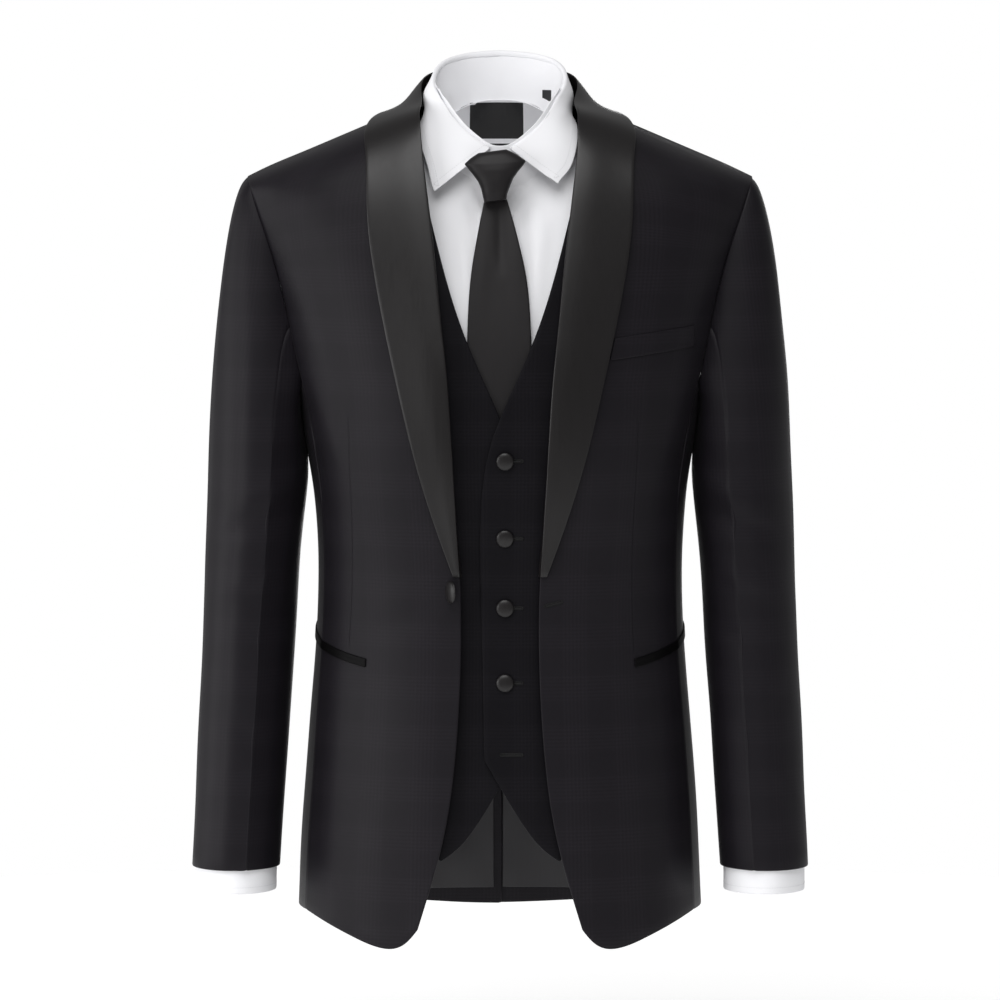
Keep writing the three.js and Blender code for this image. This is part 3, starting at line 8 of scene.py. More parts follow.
import json
import logging
import math
from collections.abc import Callable, Iterable, Sequence
from dataclasses import dataclass, field
from enum import Enum

import bmesh
import bpy
import numpy as np
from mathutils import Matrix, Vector
from mathutils.bvhtree import BVHTree

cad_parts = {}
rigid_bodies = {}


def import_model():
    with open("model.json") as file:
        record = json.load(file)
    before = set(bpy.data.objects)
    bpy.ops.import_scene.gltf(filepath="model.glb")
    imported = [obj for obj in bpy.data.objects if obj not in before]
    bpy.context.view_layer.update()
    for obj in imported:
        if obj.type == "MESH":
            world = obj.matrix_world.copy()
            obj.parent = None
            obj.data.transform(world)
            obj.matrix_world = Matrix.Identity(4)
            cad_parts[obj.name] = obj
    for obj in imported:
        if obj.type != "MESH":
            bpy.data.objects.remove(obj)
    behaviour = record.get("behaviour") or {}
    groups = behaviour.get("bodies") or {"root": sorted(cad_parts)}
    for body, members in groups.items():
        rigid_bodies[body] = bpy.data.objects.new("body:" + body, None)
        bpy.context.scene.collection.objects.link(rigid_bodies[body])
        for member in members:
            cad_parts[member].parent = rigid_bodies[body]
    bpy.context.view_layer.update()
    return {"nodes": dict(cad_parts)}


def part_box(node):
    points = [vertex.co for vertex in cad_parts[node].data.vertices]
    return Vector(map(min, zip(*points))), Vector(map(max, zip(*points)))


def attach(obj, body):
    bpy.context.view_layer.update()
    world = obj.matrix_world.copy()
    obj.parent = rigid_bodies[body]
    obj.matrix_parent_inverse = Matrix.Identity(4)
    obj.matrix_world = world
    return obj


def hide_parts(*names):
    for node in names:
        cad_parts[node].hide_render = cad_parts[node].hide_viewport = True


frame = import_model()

MM = 0.001
NOTHING = 1e-7
SIDES = {"left": 1, "right": -1}
log = logging.getLogger("suit")


# Cloth coordinates


class Wrap(Enum):
    """What a piece of cloth goes round, which gives its cloth coordinates."""

    BODY = "body"
    ARM = "arm"
    NECK = "neck"
    FRONT = "front"


@dataclass(frozen=True)
class Figure:
    """The wearer's shape, roughly, for measuring round it.

    Columns of trunk: height, half width, depth. Columns of arm: height, middle x, middle y. Ways round
    the body are measured on one ellipse, by its half width and depth.
    """

    trunk: tuple = (
        *((-790, 188, 141), (-600, 178, 132), (-423, 167, 122)),
        *((-255, 189, 137), (-137, 219, 124), (0, 231, 100)),
    )
    arm: tuple = (
        *((-740, 243, -33), (-700, 242.6, -33), (-580, 236, -19)),
        *((-460, 229, -8), (-350, 221.5, -2), (-120, 205, 0)),
    )
    arm_radius: float = 56
    neck_radius: float = 62
    ellipse: tuple[float, float] = (180, 130)
    shoulder_depth: float = 106
    shoulder_start: float = -150
    shoulder_fade: float = 70

    @staticmethod
    def section(rows: tuple, height: np.ndarray | float) -> list[np.ndarray | float]:
        """Gives both measures of a table at a height in millimetres."""
        table = np.array(rows)
        return [np.interp(height, table[:, 0], table[:, k]) for k in (1, 2)]

    def coordinates(self, points: np.ndarray, wrap: Wrap) -> np.ndarray:
        """Measures points along the cloth.

        Args:
            points: Places in metres, one row each.
            wrap: What the cloth goes round.

        Returns:
            Two columns in millimetres: the way round from the middle of the front, and height.
        """
        x, y, z = (points / MM).T
        if wrap is Wrap.FRONT:
            across = x
        elif wrap is Wrap.NECK:
            across = np.arctan2(x, -y) * self.neck_radius
        elif wrap is Wrap.ARM:
            middle_x, middle_y = self.section(self.arm, z)
            across = np.arctan2(np.abs(x) - middle_x, middle_y - y) * self.arm_radius
        else:
            half, depth = self.section(self.trunk, z)
            turns = np.linspace(0, math.pi, 400)
            wide, deep = self.ellipse
            steps = np.hypot(wide * np.diff(np.sin(turns)), deep * np.diff(np.cos(turns)))
            lengths = np.concatenate([[0], np.cumsum(steps)])
            across = np.sign(x) * np.interp(np.abs(np.arctan2(x / half, -y / depth)), turns, lengths)
            near = np.clip((z - self.shoulder_start) / self.shoulder_fade, 0, 1)
            z = z + np.clip(self.shoulder_depth - np.abs(y), 0, None) * near
        return np.stack([across, z], axis=1)


FIGURE = Figure()


# Folds


@dataclass(frozen=True)
class Fold:
    """A soft ridge or trough from one place of the cloth to another, in cloth coordinates.

    A negative rise makes a trough. It fades towards both ends, where it starts with a share of its rise.
    """

    start: tuple[float, float]
    end: tuple[float, float]
    rise: float
    wide: float
    tail: float = 0.06
    softness: float = 0.7

    def heights(self, places: np.ndarray) -> np.ndarray:
        """Gives the height of the cloth at each place.

        Args:
            places: Cloth coordinates in millimetres.

        Returns:
            One height in millimetres a place.
        """
        start, end = np.array(self.start, float), np.array(self.end, float)
        along = end - start
        share = np.clip(((places - start) @ along) / (along @ along), 0, 1)
        away = np.linalg.norm(places - start - share[:, None] * along, axis=1)
        fade = np.sin(math.pi * (self.tail + (1 - 2 * self.tail) * share)) ** self.softness
        return self.rise * fade * np.exp(-((away / self.wide) ** 2))


@dataclass(frozen=True)
class Ripple:
    """A slow unevenness of the whole cloth, the same on every run."""

    rise: float
    long: float
    seed: int
    waves: int = 7
    lengths: tuple[float, float] = (0.6, 1.5)
    flatness: float = 0.7
    crest: float = 3

    def heights(self, places: np.ndarray) -> np.ndarray:
        """Gives the height of the cloth at each place.

        Args:
            places: Cloth coordinates in millimetres.

        Returns:
            One height in millimetres a place.
        """
        chance = np.random.default_rng(self.seed)
        total = np.zeros(len(places))
        for _ in range(self.waves):
            lean, phase = chance.uniform(0, math.pi), chance.uniform(0, 2 * math.pi)
            wave = self.long * chance.uniform(*self.lengths)
            way = (math.cos(lean), math.sin(lean) * self.flatness)
            total += np.sin((places @ way) * 2 * math.pi / wave + phase)
        return total * self.rise / self.crest


@dataclass(frozen=True)
class Pull:
    """Moves the cloth near a place one way, less and less with the distance, in millimetres."""

    place: tuple[float, float, float]
    reach: tuple[float, float, float]
    way: tuple[float, float, float]

    def shift(self, points: np.ndarray) -> np.ndarray:
        """Gives how far each point moves.

        Args:
            points: Places in metres, one row each.

        Returns:
            One way in metres a point.
        """
        away = (points / MM - self.place) / self.reach
        return np.exp(-(away**2).sum(axis=1))[:, None] * np.array(self.way) * MM


# Cloth

# Points of a solid nearer than this are one. Flat pairs of triangles become quads up to this angle, and
# the border of the cloth keeps its corners below this one.
WELD = 0.02 * MM
FLAT = math.radians(60)
CORNER = math.radians(122)

# Tries at finding the rim of a wall: the longest edge across it as a share of its thickness, how squarely
# that edge stands on it, and whether rays are used. A try does when no run of faces has more than this
# share of them all.
RIM_TRIES = ((1.5, 0.5, False), (4, 0.4, False), (1.5, 0.5, True))
RIM_SHORTEST = 0.5
PARTED = 0.6
OPPOSITE = -0.6

# The rounded edge of cloth: how far each ring reaches out and how deep it lies, as shares. Where the edge
# is turned in, it leans out by a share of the extra depth.
EDGE_RINGS = ((0.75, 0.12), (1.0, 0.5), (0.75, 0.88), (-0.4, 1.0))
EDGE_LEAN = 0.3


def quads(rings: Sequence[np.ndarray]) -> list[tuple[int, ...]]:
    """Joins closed rings of points, each to the next one.

    Args:
        rings: The numbers of the points of each ring.

    Returns:
        The faces.
    """
    faces = []
    for near, far in zip(rings, rings[1:]):
        sides = (np.roll(near, -1), near, far, np.roll(far, -1))
        faces += zip(*(side.tolist() for side in sides))
    return faces


@dataclass
class Sheet:
    """One piece of cloth as a single layer of quads, with the way to give it thickness."""

    name: str
    points: np.ndarray
    faces: list[tuple[int, ...]]
    wrap: Wrap

    @classmethod
    def of_solid(cls, node: str, cloth: float, wrap: Wrap, levels: int) -> "Sheet":
        """Takes the outer face of a solid and makes it finer.

        Args:
            node: Name of the solid.
            cloth: Its thickness in millimetres.
            wrap: What the cloth goes round.
            levels: How many times each quad is split in four.

        Returns:
            The fine sheet.
        """
        bm = bmesh.new()
        bm.from_mesh(frame["nodes"][node].data)
        bmesh.ops.remove_doubles(bm, verts=bm.verts, dist=WELD)
        bm.normal_update()
        cls._keep_outer(bm, cloth * MM, wrap)
        bmesh.ops.join_triangles(bm, faces=bm.faces, angle_face_threshold=FLAT, angle_shape_threshold=math.pi)
        sharp = bm.verts.layers.float.new("crease_vert")
        for vert in bm.verts:
            ends = [e.other_vert(vert).co - vert.co for e in vert.link_edges if e.is_boundary]
            folded = wrap is Wrap.NECK and len(vert.link_faces) > 1
            if len(ends) == 2 and not folded and ends[0].angle(ends[1]) < CORNER:
                vert[sharp] = 1.0
        mesh = bpy.data.meshes.new(node)
        bm.to_mesh(mesh)
        bm.free()
        draft = bpy.data.objects.new(node + "_draft", mesh)
        bpy.context.scene.collection.objects.link(draft)
        finer = draft.modifiers.new("finer", "SUBSURF")
        finer.levels = max(1, levels - int(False))
        finer.boundary_smooth = "PRESERVE_CORNERS"
        fine = bpy.data.meshes.new_from_object(draft.evaluated_get(bpy.context.evaluated_depsgraph_get()))
        points = np.array([v.co for v in fine.vertices])
        faces = [tuple(p.vertices) for p in fine.polygons]
        bpy.data.objects.remove(draft)
        bpy.data.meshes.remove(fine)
        bpy.data.meshes.remove(mesh)
        return cls(node, points, faces, wrap)

    @staticmethod
    def _rim(bm: bmesh.types.BMesh, thick: float, most: float, upright: float, rays: bool) -> set:
        """Finds the narrow faces round the edge of a wall of cloth.

        Args:
            bm: The wall.
            thick: Its thickness in metres.
            most: The longest edge across the rim, as a share of the thickness.
            upright: How squarely such an edge stands on the wall, from 0 to 1.
            rays: Whether faces are also tested by the way through the wall behind them.

        Returns:
            The faces of its rim.
        """
        rim = set()
        for edge in bm.edges:
            if not RIM_SHORTEST < edge.calc_length() / thick < most:
                continue
            way = (edge.verts[1].co - edge.verts[0].co).normalized()
            ends = [sum((f.normal * f.calc_area() for f in v.link_faces), Vector()) for v in edge.verts]
            if min(abs(way.dot(end.normalized())) for end in ends) > upright:
                rim.update(edge.link_faces)
        tree = BVHTree.FromBMesh(bm)
        for face in bm.faces if rays else ():
            inside = face.calc_center_median() - face.normal * 0.01 * MM
            _, normal, _, way_through = tree.ray_cast(inside, -face.normal)
            if normal is None or way_through > 2 * thick or normal.dot(face.normal) > OPPOSITE:
                rim.add(face)
        return rim

    @staticmethod
    def _layers(bm: bmesh.types.BMesh, rim: set[bmesh.types.BMFace]) -> list[list[bmesh.types.BMFace]]:
        """Lists the runs of faces that hang together.

        Args:
            bm: The wall.
            rim: The faces of its rim, which part the runs.

        Returns:
            The faces of each run.
        """
        layers, seen = [], set(rim)
        for start in bm.faces:
            if start in seen:
                continue
            layer, queue = [], [start]
            seen.add(start)
            while queue:
                face = queue.pop()
                layer.append(face)
                for near in {n for e in face.edges for n in e.link_faces} - seen:
                    seen.add(near)
                    queue.append(near)
            layers.append(layer)
        return layers

    @classmethod
    def _keep_outer(cls, bm: bmesh.types.BMesh, thick: float, wrap: Wrap) -> None:
        """Deletes all of a wall but its outer layer.

        Args:
            bm: The wall.
            thick: Its thickness in metres.
            wrap: What it goes round.
        """
        def faces_out(layer: list[bmesh.types.BMFace]) -> float:
            """Adds up how far a layer looks away from what it goes round.

            Args:
                layer: Its faces.

            Returns:
                Their area in square metres, each by the cosine to the way out.
            """
            total = 0.0
            for face in layer:
                middle = face.calc_center_median()
                out = Vector((middle.x, middle.y, 0))
                if wrap is Wrap.ARM:
                    x, y = FIGURE.section(FIGURE.arm, middle.z / MM)
                    out -= Vector((math.copysign(x, middle.x), y, 0)) * MM
                total += face.calc_area() * face.normal.dot(out.normalized())
            return total

        for most, upright, rays in RIM_TRIES:
            layers = cls._layers(bm, cls._rim(bm, thick, most, upright, rays))
            if max(len(layer) for layer in layers) < PARTED * len(bm.faces):
                break
        outer = set(max(layers, key=faces_out))
        bmesh.ops.delete(bm, geom=[f for f in bm.faces if f not in outer], context="FACES")

    def normals(self) -> np.ndarray:
        """Works out the way the cloth faces.

        Returns:
            The unit normal at each point.
        """
        total = np.zeros_like(self.points)
        for corners in {len(f) for f in self.faces}:
            index = np.array([f for f in self.faces if len(f) == corners])
            p = self.points[index]
            normal = np.cross(p[:, 2] - p[:, 0], p[:, -1] - p[:, 1])
            for k in range(corners):
                np.add.at(total, index[:, k], normal)
        return total / np.maximum(np.linalg.norm(total, axis=1, keepdims=True), 1e-12)

    def coordinates(self) -> np.ndarray:
        """Gives the cloth coordinates of each point in millimetres."""
        return FIGURE.coordinates(self.points, self.wrap)

    def relieve(self, *reliefs: Fold | Ripple) -> "Sheet":
        """Moves the cloth out or in by folds.

        Args:
            reliefs: What raises or lowers it.

        Returns:
            The sheet itself.
        """
        places = self.coordinates()
        heights = sum((relief.heights(places) for relief in reliefs), np.zeros(len(places)))
        self.points = self.points + self.normals() * heights[:, None] * MM
        return self

    def settle(self, under: Sequence["Sheet"], lift: float) -> "Sheet":
        """Lays the cloth on other sheets.

        Args:
            under: The sheets under it.
            lift: How far above them its outer face lies, in millimetres.

        Returns:
            The sheet itself.
        """
        trees = [sheet.tree() for sheet in under]
        for index, point in enumerate(self.points):
            hits = [tree.find_nearest(Vector(point)) for tree in trees]
            place, normal, _, _ = min(hits, key=lambda hit: hit[3])
            self.points[index] = place + normal * lift * MM
        return self

    def borders(self) -> list[list[int]]:
        """Follows the borders, with the cloth on their left.

        Returns:
            The points of each border in order.
        """
        edges = {(f[k], f[(k + 1) % len(f)]) for f in self.faces for k in range(len(f))}
        following = {a: b for a, b in edges if (b, a) not in edges}
        loops = []
        while following:
            loop = [next(iter(sorted(following)))]
            while loop[-1] in following:
                loop.append(following.pop(loop[-1]))
            loops.append(loop[:-1])
        return loops

    def edgewise(self, loop: Sequence[int], normals: np.ndarray) -> np.ndarray:
        """Gives the way out of the cloth, in its own plane, at each point of a border.

        Args:
            loop: The points of the border.
            normals: Normals of all points.

        Returns:
            One unit vector a point.
        """
        p = self.points[loop]
        along = np.roll(p, -1, axis=0) - np.roll(p, 1, axis=0)
        out = np.cross(along, normals[loop])
        return out / np.maximum(np.linalg.norm(out, axis=1, keepdims=True), 1e-12)

    def tree(self) -> BVHTree:
        """Gives a search tree of the sheet."""
        return BVHTree.FromPolygons([tuple(p) for p in self.points], self.faces)

    def thicken(
        self, cloth: float, turning: Callable[[np.ndarray], np.ndarray] | None = None
    ) -> bpy.types.Object:
        """Makes the closed piece: the sheet, its inside, and a rounded rim.

        Args:
            cloth: Thickness in millimetres.
            turning: How deep the edge is turned in at points in millimetres, where that is more.

        Returns:
            The piece, named as the sheet with _cloth.
        """
        thick, count = cloth * MM, len(self.points)
        normals, places = self.normals(), self.coordinates() * MM
        inner = self.points - normals * thick
        points, uvs = [self.points, inner], [places, places]
        faces = list(self.faces) + [tuple(i + count for i in reversed(f)) for f in self.faces]
        total = 2 * count
        for loop in self.borders():
            out = self.edgewise(loop, normals) * thick / 2
            at, normal = self.points[loop], normals[loop]
            deep = np.full(len(loop), thick)
            if turning:
                deep = np.maximum(deep, turning(at / MM) * MM)
            lean = (deep - thick) * EDGE_LEAN / (thick / 2)
            rings = [np.array(loop)]
            for away, share in EDGE_RINGS:
                points.append(at + out * (away + lean * share)[:, None] - normal * (deep * share)[:, None])
                uvs.append(places[loop])
                rings.append(np.arange(len(loop)) + total)
                total += len(loop)
            inner[loop] -= out
            faces += quads([*rings, np.array(loop) + count])
        return new_piece(self.name + "_cloth", np.concatenate(points), faces, np.concatenate(uvs))

    def extend(
        self, profile: Sequence[tuple[float, float]], wanted: Callable[[np.ndarray, np.ndarray], np.ndarray]
    ) -> "Sheet":
        """Lets the cloth out beyond part of its border.

        Args:
            profile: How far each new row lies ahead of the border and in from the face, in millimetres.
            wanted: How much of that each point of a border gets, by its place and its way out.

        Returns:
            The sheet itself.
        """
        normals, faces = self.normals(), list(self.faces)
        for loop in self.borders():
            out = self.edgewise(loop, normals)
            share = wanted(self.points[loop] / MM, out).astype(float)[:, None]
            rings = [np.array(loop)]
            for k, (ahead, inward) in enumerate(profile, 1):
                reach = (out * ahead - normals[loop] * inward) * share * MM + out * 10 * NOTHING * k
                rings.append(np.arange(len(loop)) + len(self.points))
                self.points = np.concatenate([self.points, self.points[loop] + reach])
            faces += quads(rings)
        self.faces = faces
        return self


def new_piece(
    name: str, points: np.ndarray, faces: Sequence[Sequence[int]], places: np.ndarray | None = None
) -> bpy.types.Object:
    """Makes a smooth mesh object.

    Args:
        name: Name of the piece.
        points: Its points in metres.
        faces: The points of each face.
        places: Cloth coordinates of each point in metres, for its pattern.

    Returns:
        The new object.
    """
    mesh = bpy.data.meshes.new(name)
    mesh.from_pydata(np.asarray(points).tolist(), [], [tuple(int(i) for i in f) for f in faces])
    mesh.shade_smooth()
    if places is not None:
        layer = mesh.uv_layers.new(name="cloth")
        corners = np.zeros(len(mesh.loops), np.int32)
        mesh.loops.foreach_get("vertex_index", corners)
        layer.data.foreach_set("uv", places[corners].astype(np.float32).ravel())
    piece = bpy.data.objects.new(name, mesh)
    bpy.context.scene.collection.objects.link(piece)
    return piece


# Finishes


class Value:
    """A socket that gives a number. Arithmetic on it adds Math nodes."""

    def __init__(self, graph: "Graph", socket: bpy.types.NodeSocket) -> None:
        """Wraps a socket.

        Args:
            graph: The graph that it belongs to.
            socket: The socket.
        """
        self.graph, self.socket = graph, socket

    def _with(self, operation: str, *others: "Value | float") -> "Value":
        """Adds one Math node.

        Args:
            operation: Its operation.
            others: What the value is combined with.

        Returns:
            The result.
        """
        return self.graph.value("ShaderNodeMath", {"operation": operation}, dict(enumerate((self, *others))))

    def __add__(self, other: "Value | float") -> "Value":
        """Adds."""
        return self._with("ADD", other)

    __radd__ = __add__

    def __mul__(self, other: "Value | float") -> "Value":
        """Multiplies."""
        return self._with("MULTIPLY", other)

    __rmul__ = __mul__

    def __sub__(self, other: "Value | float") -> "Value":
        """Subtracts."""
        return self._with("SUBTRACT", other)

    def __rsub__(self, other: float) -> "Value":
        """Subtracts the value from a number."""
        return self.graph.value("ShaderNodeMath", {"operation": "SUBTRACT"}, {0: other, 1: self})

    def __truediv__(self, other: "Value | float") -> "Value":
        """Divides."""
        return self._with("DIVIDE", other)

    def __abs__(self) -> "Value":
        """Drops the sign."""
        return self._with("ABSOLUTE")

    def wave(self, period: float) -> "Value":
        """Gives a smooth wave from 0 to 1 as the value goes up by a period."""
        return (self * (2 * math.pi / period))._with("SINE") * 0.5 + 0.5

    def part(self, period: float) -> "Value":
        """Gives how far the value is through its period, from 0 to 1."""
        return (self / period)._with("FRACT")

    def rise(self, start: float, end: float) -> "Value":
        """Gives a soft step from 0 at start to 1 at end."""
        inputs = {"Value": self, "From Min": start, "From Max": end}
        return self.graph.value("ShaderNodeMapRange", {"interpolation_type": "SMOOTHSTEP"}, inputs, "Result")


class Graph:
    """The node graph of one material."""

    def __init__(self, name: str) -> None:
        """Starts a material.

        Args:
            name: Name of the material.
        """
        self.material = bpy.data.materials.new(name)
        self.material.use_nodes = True
        self.tree = self.material.node_tree
        self.shader = self.tree.nodes["Principled BSDF"]

    def node(self, kind: str, settings: dict | None = None, inputs: dict | None = None) -> bpy.types.Node:
        """Adds a node of any kind.

        Args:
            kind: Its type.
            settings: Its properties, which are set first.
            inputs: Values or links by socket name or number.

        Returns:
            The node.
        """
        made = self.tree.nodes.new(kind)
        for key, setting in (settings or {}).items():
            setattr(made, key, setting)
        for key, given in (inputs or {}).items():
            self.feed(made.inputs[key], given)
        return made

    def feed(self, socket: bpy.types.NodeSocket, given: object) -> None:
        """Sets a socket, or links it.

        Args:
            socket: The socket.
            given: A number, a vector, a colour, a Value or an output socket.
        """
        given = given.socket if isinstance(given, Value) else given
        if isinstance(given, bpy.types.NodeSocket):
            self.tree.links.new(given, socket)
        else:
            socket.default_value = given

    def value(self, kind: str, settings: dict, inputs: dict, output: str | int = 0) -> Value:
        """Adds a node and takes a number from it.

        Args:
            kind: Its type.
            settings: Its properties.
            inputs: Values or links by socket name or number.
            output: The output that gives the number.

        Returns:
            The number.
        """
        return Value(self, self.node(kind, settings, inputs).outputs[output])

    def mix(self, share: Value | float, first: object, second: object) -> bpy.types.NodeSocket:
        """Mixes two colours.

        Args:
            share: How much of the second colour.
            first: A colour or a socket.
            second: A colour or a socket.

        Returns:
            The mixed colour.
        """
        made = self.node("ShaderNodeMix", {"data_type": "RGBA"})
        for socket, given in ((made.inputs[0], share), (made.inputs[6], first), (made.inputs[7], second)):
            self.feed(socket, given)
        return made.outputs[2]

    def places(self) -> tuple[Value, Value]:
        """Adds the cloth coordinates.

        Returns:
            The way round and the height, in millimetres.
        """
        uv = self.node("ShaderNodeTexCoord").outputs["UV"]
        parts = self.node("ShaderNodeSeparateXYZ", {}, {0: uv})
        return Value(self, parts.outputs[0]) * 1000, Value(self, parts.outputs[1]) * 1000

    def noise(self, size: float, detail: float = 3, stretch: tuple[float, float, float] = (1, 1, 1)) -> Value:
        """Adds noise in the space of the object.

        Args:
            size: Size of its spots in millimetres.
            detail: How much fine noise is on it.
            stretch: Scale along each axis.

        Returns:
            The noise, from 0 to 1.
        """
        place = self.node("ShaderNodeTexCoord").outputs["Object"]
        scaled = self.node("ShaderNodeVectorMath", {"operation": "MULTIPLY"}, {0: place, 1: stretch})
        inputs = {"Vector": scaled.outputs[0], "Scale": 1 / (size * MM), "Detail": detail}
        return self.value("ShaderNodeTexNoise", {}, inputs)

    def bump(self, height: Value, deep: float, strength: float = 1) -> None:
        """Feeds the shader's normal from a height.

        Args:
            height: Height from 0 to 1.
            deep: How many millimetres 1 stands for.
            strength: How strongly it shades.
        """
        inputs = {"Strength": strength, "Distance": deep * MM, "Height": height}
        made = self.node("ShaderNodeBump", {}, inputs)
        self.tree.links.new(made.outputs[0], self.shader.inputs["Normal"])

    def finish(self, **uniform: float | tuple) -> bpy.types.Material:
        """Sets the shader's uniform sockets.

        Args:
            uniform: Values by socket name, with _ for a space.

        Returns:
            The material.
        """
        for key, given in uniform.items():
            self.feed(self.shader.inputs[key.replace("_", " ")], given)
        return self.material


Colour = tuple[float, float, float, float]


def shaded(colour: Colour, share: float) -> Colour:
    """Gives a colour made lighter or darker."""
    return *(share * part for part in colour[:3]), 1


@dataclass(frozen=True)
class Worsted:
    """Fine dark worsted wool with a very faint tonal check.

    The dart, where there is one, runs between two places in cloth coordinates; its groove is bumped in
    and painted in the plain dark colour, as painted shade. Lengths of check, line and twill are in
    millimetres. The shares say how much of the light colour each pattern brings.
    """

    dart: tuple[tuple[float, float], tuple[float, float]] | None = None
    colour: Colour = (0.007, 0.006, 0.008, 1)
    light: Colour = (0.0132, 0.0114, 0.0146, 1)
    level: float = 0.13
    check: float = 46
    line: float = 3.4
    twill: float = 1.1
    check_share: float = 0.32
    fleck_share: float = 0.35
    cloud_share: float = 0.2
    groove: float = 4

    def material(self) -> bpy.types.Material:
        """Makes the material.

        Returns:
            The material.
        """
        graph = Graph("worsted_wool")
        across, along = graph.places()
        bands = [abs(place.part(self.check) - 0.5).rise(0.3, 0.2) for place in (across, along)]
        lines = [place.wave(self.line) for place in (across, along)]
        check = (bands[0] * lines[0] + bands[1] * lines[1]) * self.check_share
        twill = (across + along).wave(self.twill)
        fleck = graph.noise(1.4, 2)
        share = check + fleck * self.fleck_share + graph.noise(60, 2) * self.cloud_share - 0.1
        height = twill * 0.35 + fleck * 0.5 + check * 0.4
        if self.dart:
            # The dart's groove takes the plain dark colour, as painted shade, and is bumped in.
            seam = self._dart_groove_shade(across, along)
            share, height = share * (1 - seam), height - seam * self.groove
        graph.feed(graph.shader.inputs["Base Color"], graph.mix(share, self.colour, self.light))
        graph.bump(height, 0.12, 0.5)
        return graph.finish(
            Roughness=0.46, Specular_IOR_Level=self.level, Sheen_Weight=0.01, Sheen_Roughness=0.4
        )

    def _dart_groove_shade(self, across: Value, along: Value) -> Value:
        """Marks the fine groove of the dart, which is bumped in and painted darker as painted shade.

        Args:
            across: The way round.
            along: Height.

        Returns:
            1 in the groove and 0 beside it.
        """
        (u0, v0), (u1, v1) = self.dart
        share = (along - v0) * (1 / (v1 - v0))
        away = abs(across - (share * (u1 - u0) + u0))
        return away.rise(0.9, 0.25) * share.rise(0, 0.03) * (1 - share).rise(0, 0.03)


@dataclass(frozen=True)
class Satin:
    """Satin, whose fine threads run along the piece and spread its shine across it."""

    name: str
    colour: Colour
    shine: float
    level: float
    threads: float = 1.3
    contrast: float = 0.2

    def material(self) -> bpy.types.Material:
        """Makes the material.

        Returns:
            The material.
        """
        graph = Graph(self.name)
        across, _ = graph.places()
        streak = graph.noise(2.2, 3, (1, 1, 0.02))
        cloudy = graph.noise(45, 2, (1, 1, 0.35))
        dark, light = shaded(self.colour, 1 - self.contrast), shaded(self.colour, 1 / (1 - self.contrast))
        graph.feed(graph.shader.inputs["Base Color"], graph.mix(streak * 0.6 + cloudy * 0.4, dark, light))
        graph.feed(graph.shader.inputs["Roughness"], self.shine + 0.1 * streak + 0.06 * cloudy)
        graph.bump(across.wave(self.threads) * 0.3 + streak * 0.7, 0.05, 0.45)
        return graph.finish(Specular_IOR_Level=self.level)


@dataclass(frozen=True)
class Poplin:
    """White cotton poplin: a fine even weave, faintly mottled by pressing."""

    colour: Colour = (0.87, 0.87, 0.89, 1)
    shade: Colour = (0.81, 0.81, 0.84, 1)
    threads: float = 0.9

    def material(self) -> bpy.types.Material:
        """Makes the material.

        Returns:
            The material.
        """
        graph = Graph("white_poplin")
        across, along = graph.places()
        weave = across.wave(self.threads) * along.wave(self.threads)
        share = graph.noise(24, 3) * 0.5 + weave * 0.15
        graph.feed(graph.shader.inputs["Base Color"], graph.mix(share, self.colour, self.shade))
        graph.bump(weave * 0.5 + graph.noise(9, 3) * 0.5, 0.1, 0.35)
        return graph.finish(Roughness=0.75, Specular_IOR_Level=0.25, Sheen_Weight=0.05)


@dataclass(frozen=True)
class Thread:
    """Sewing thread with its twist."""

    name: str
    colour: Colour

    def material(self) -> bpy.types.Material:
        """Makes the material.

        Returns:
            The material.
        """
        graph = Graph(self.name)
        twist = graph.noise(0.35, 2)
        graph.feed(graph.shader.inputs["Base Color"], graph.mix(twist, shaded(self.colour, 0.7), self.colour))
        graph.bump(twist, 0.05, 0.6)
        return graph.finish(Roughness=0.6, Specular_IOR_Level=0.3)


FINISHES: dict[str, Worsted | Satin | Poplin | Thread] = {
    "wool": Worsted(),
    # The waistcoat's wool is a darker copy of the jacket's wool: painted shade from the jacket over it.
    "waistcoat": Worsted(None, (0.0042, 0.0038, 0.005, 1), (0.0088, 0.008, 0.01, 1), 0.07),
    "jet": Satin("pocket_satin", (0.002, 0.0018, 0.002, 1), 0.4, 0.07),
    "satin": Satin("lapel_satin", (0.0056, 0.0046, 0.0048, 1), 0.28, 0.37),
    "lining": Satin("grey_lining", (0.019, 0.0178, 0.02, 1), 0.36, 0.34, 0.8),
    "tie": Satin("tie_silk", (0.011, 0.0098, 0.0105, 1), 0.4, 0.22, 0.9),
    "shirt": Poplin(),
    "label": Satin("label_tape", (0.0055, 0.0053, 0.006, 1), 0.45, 0.3, 0.7),
    "white_thread": Thread("white_thread", (0.78, 0.78, 0.8, 1)),
    "dark_thread": Thread("dark_thread", (0.003, 0.0028, 0.0032, 1)),
}


# Pieces

FRONT_START = -0.4
NUDGES = (0, -1, 1, -2, 2, -4, 4, -7, 7)


@dataclass(frozen=True)
class Cut:
    """How a piece of cloth is cut: its solid, thickness, and the flat size of what shows of it."""

    node: str
    cloth: float
    flat: tuple[float, float]
    area: float
    wrap: Wrap = Wrap.BODY
    levels: int = 2
    held: str = "draped"
    turning: Callable[[np.ndarray], np.ndarray] | None = None
    pulls: tuple[Pull, ...] = ()
    let_out: tuple[tuple[float, float], ...] = ()
    let_where: Callable[[np.ndarray, np.ndarray], np.ndarray] | None = None
    lies_on: tuple[str, ...] = ()


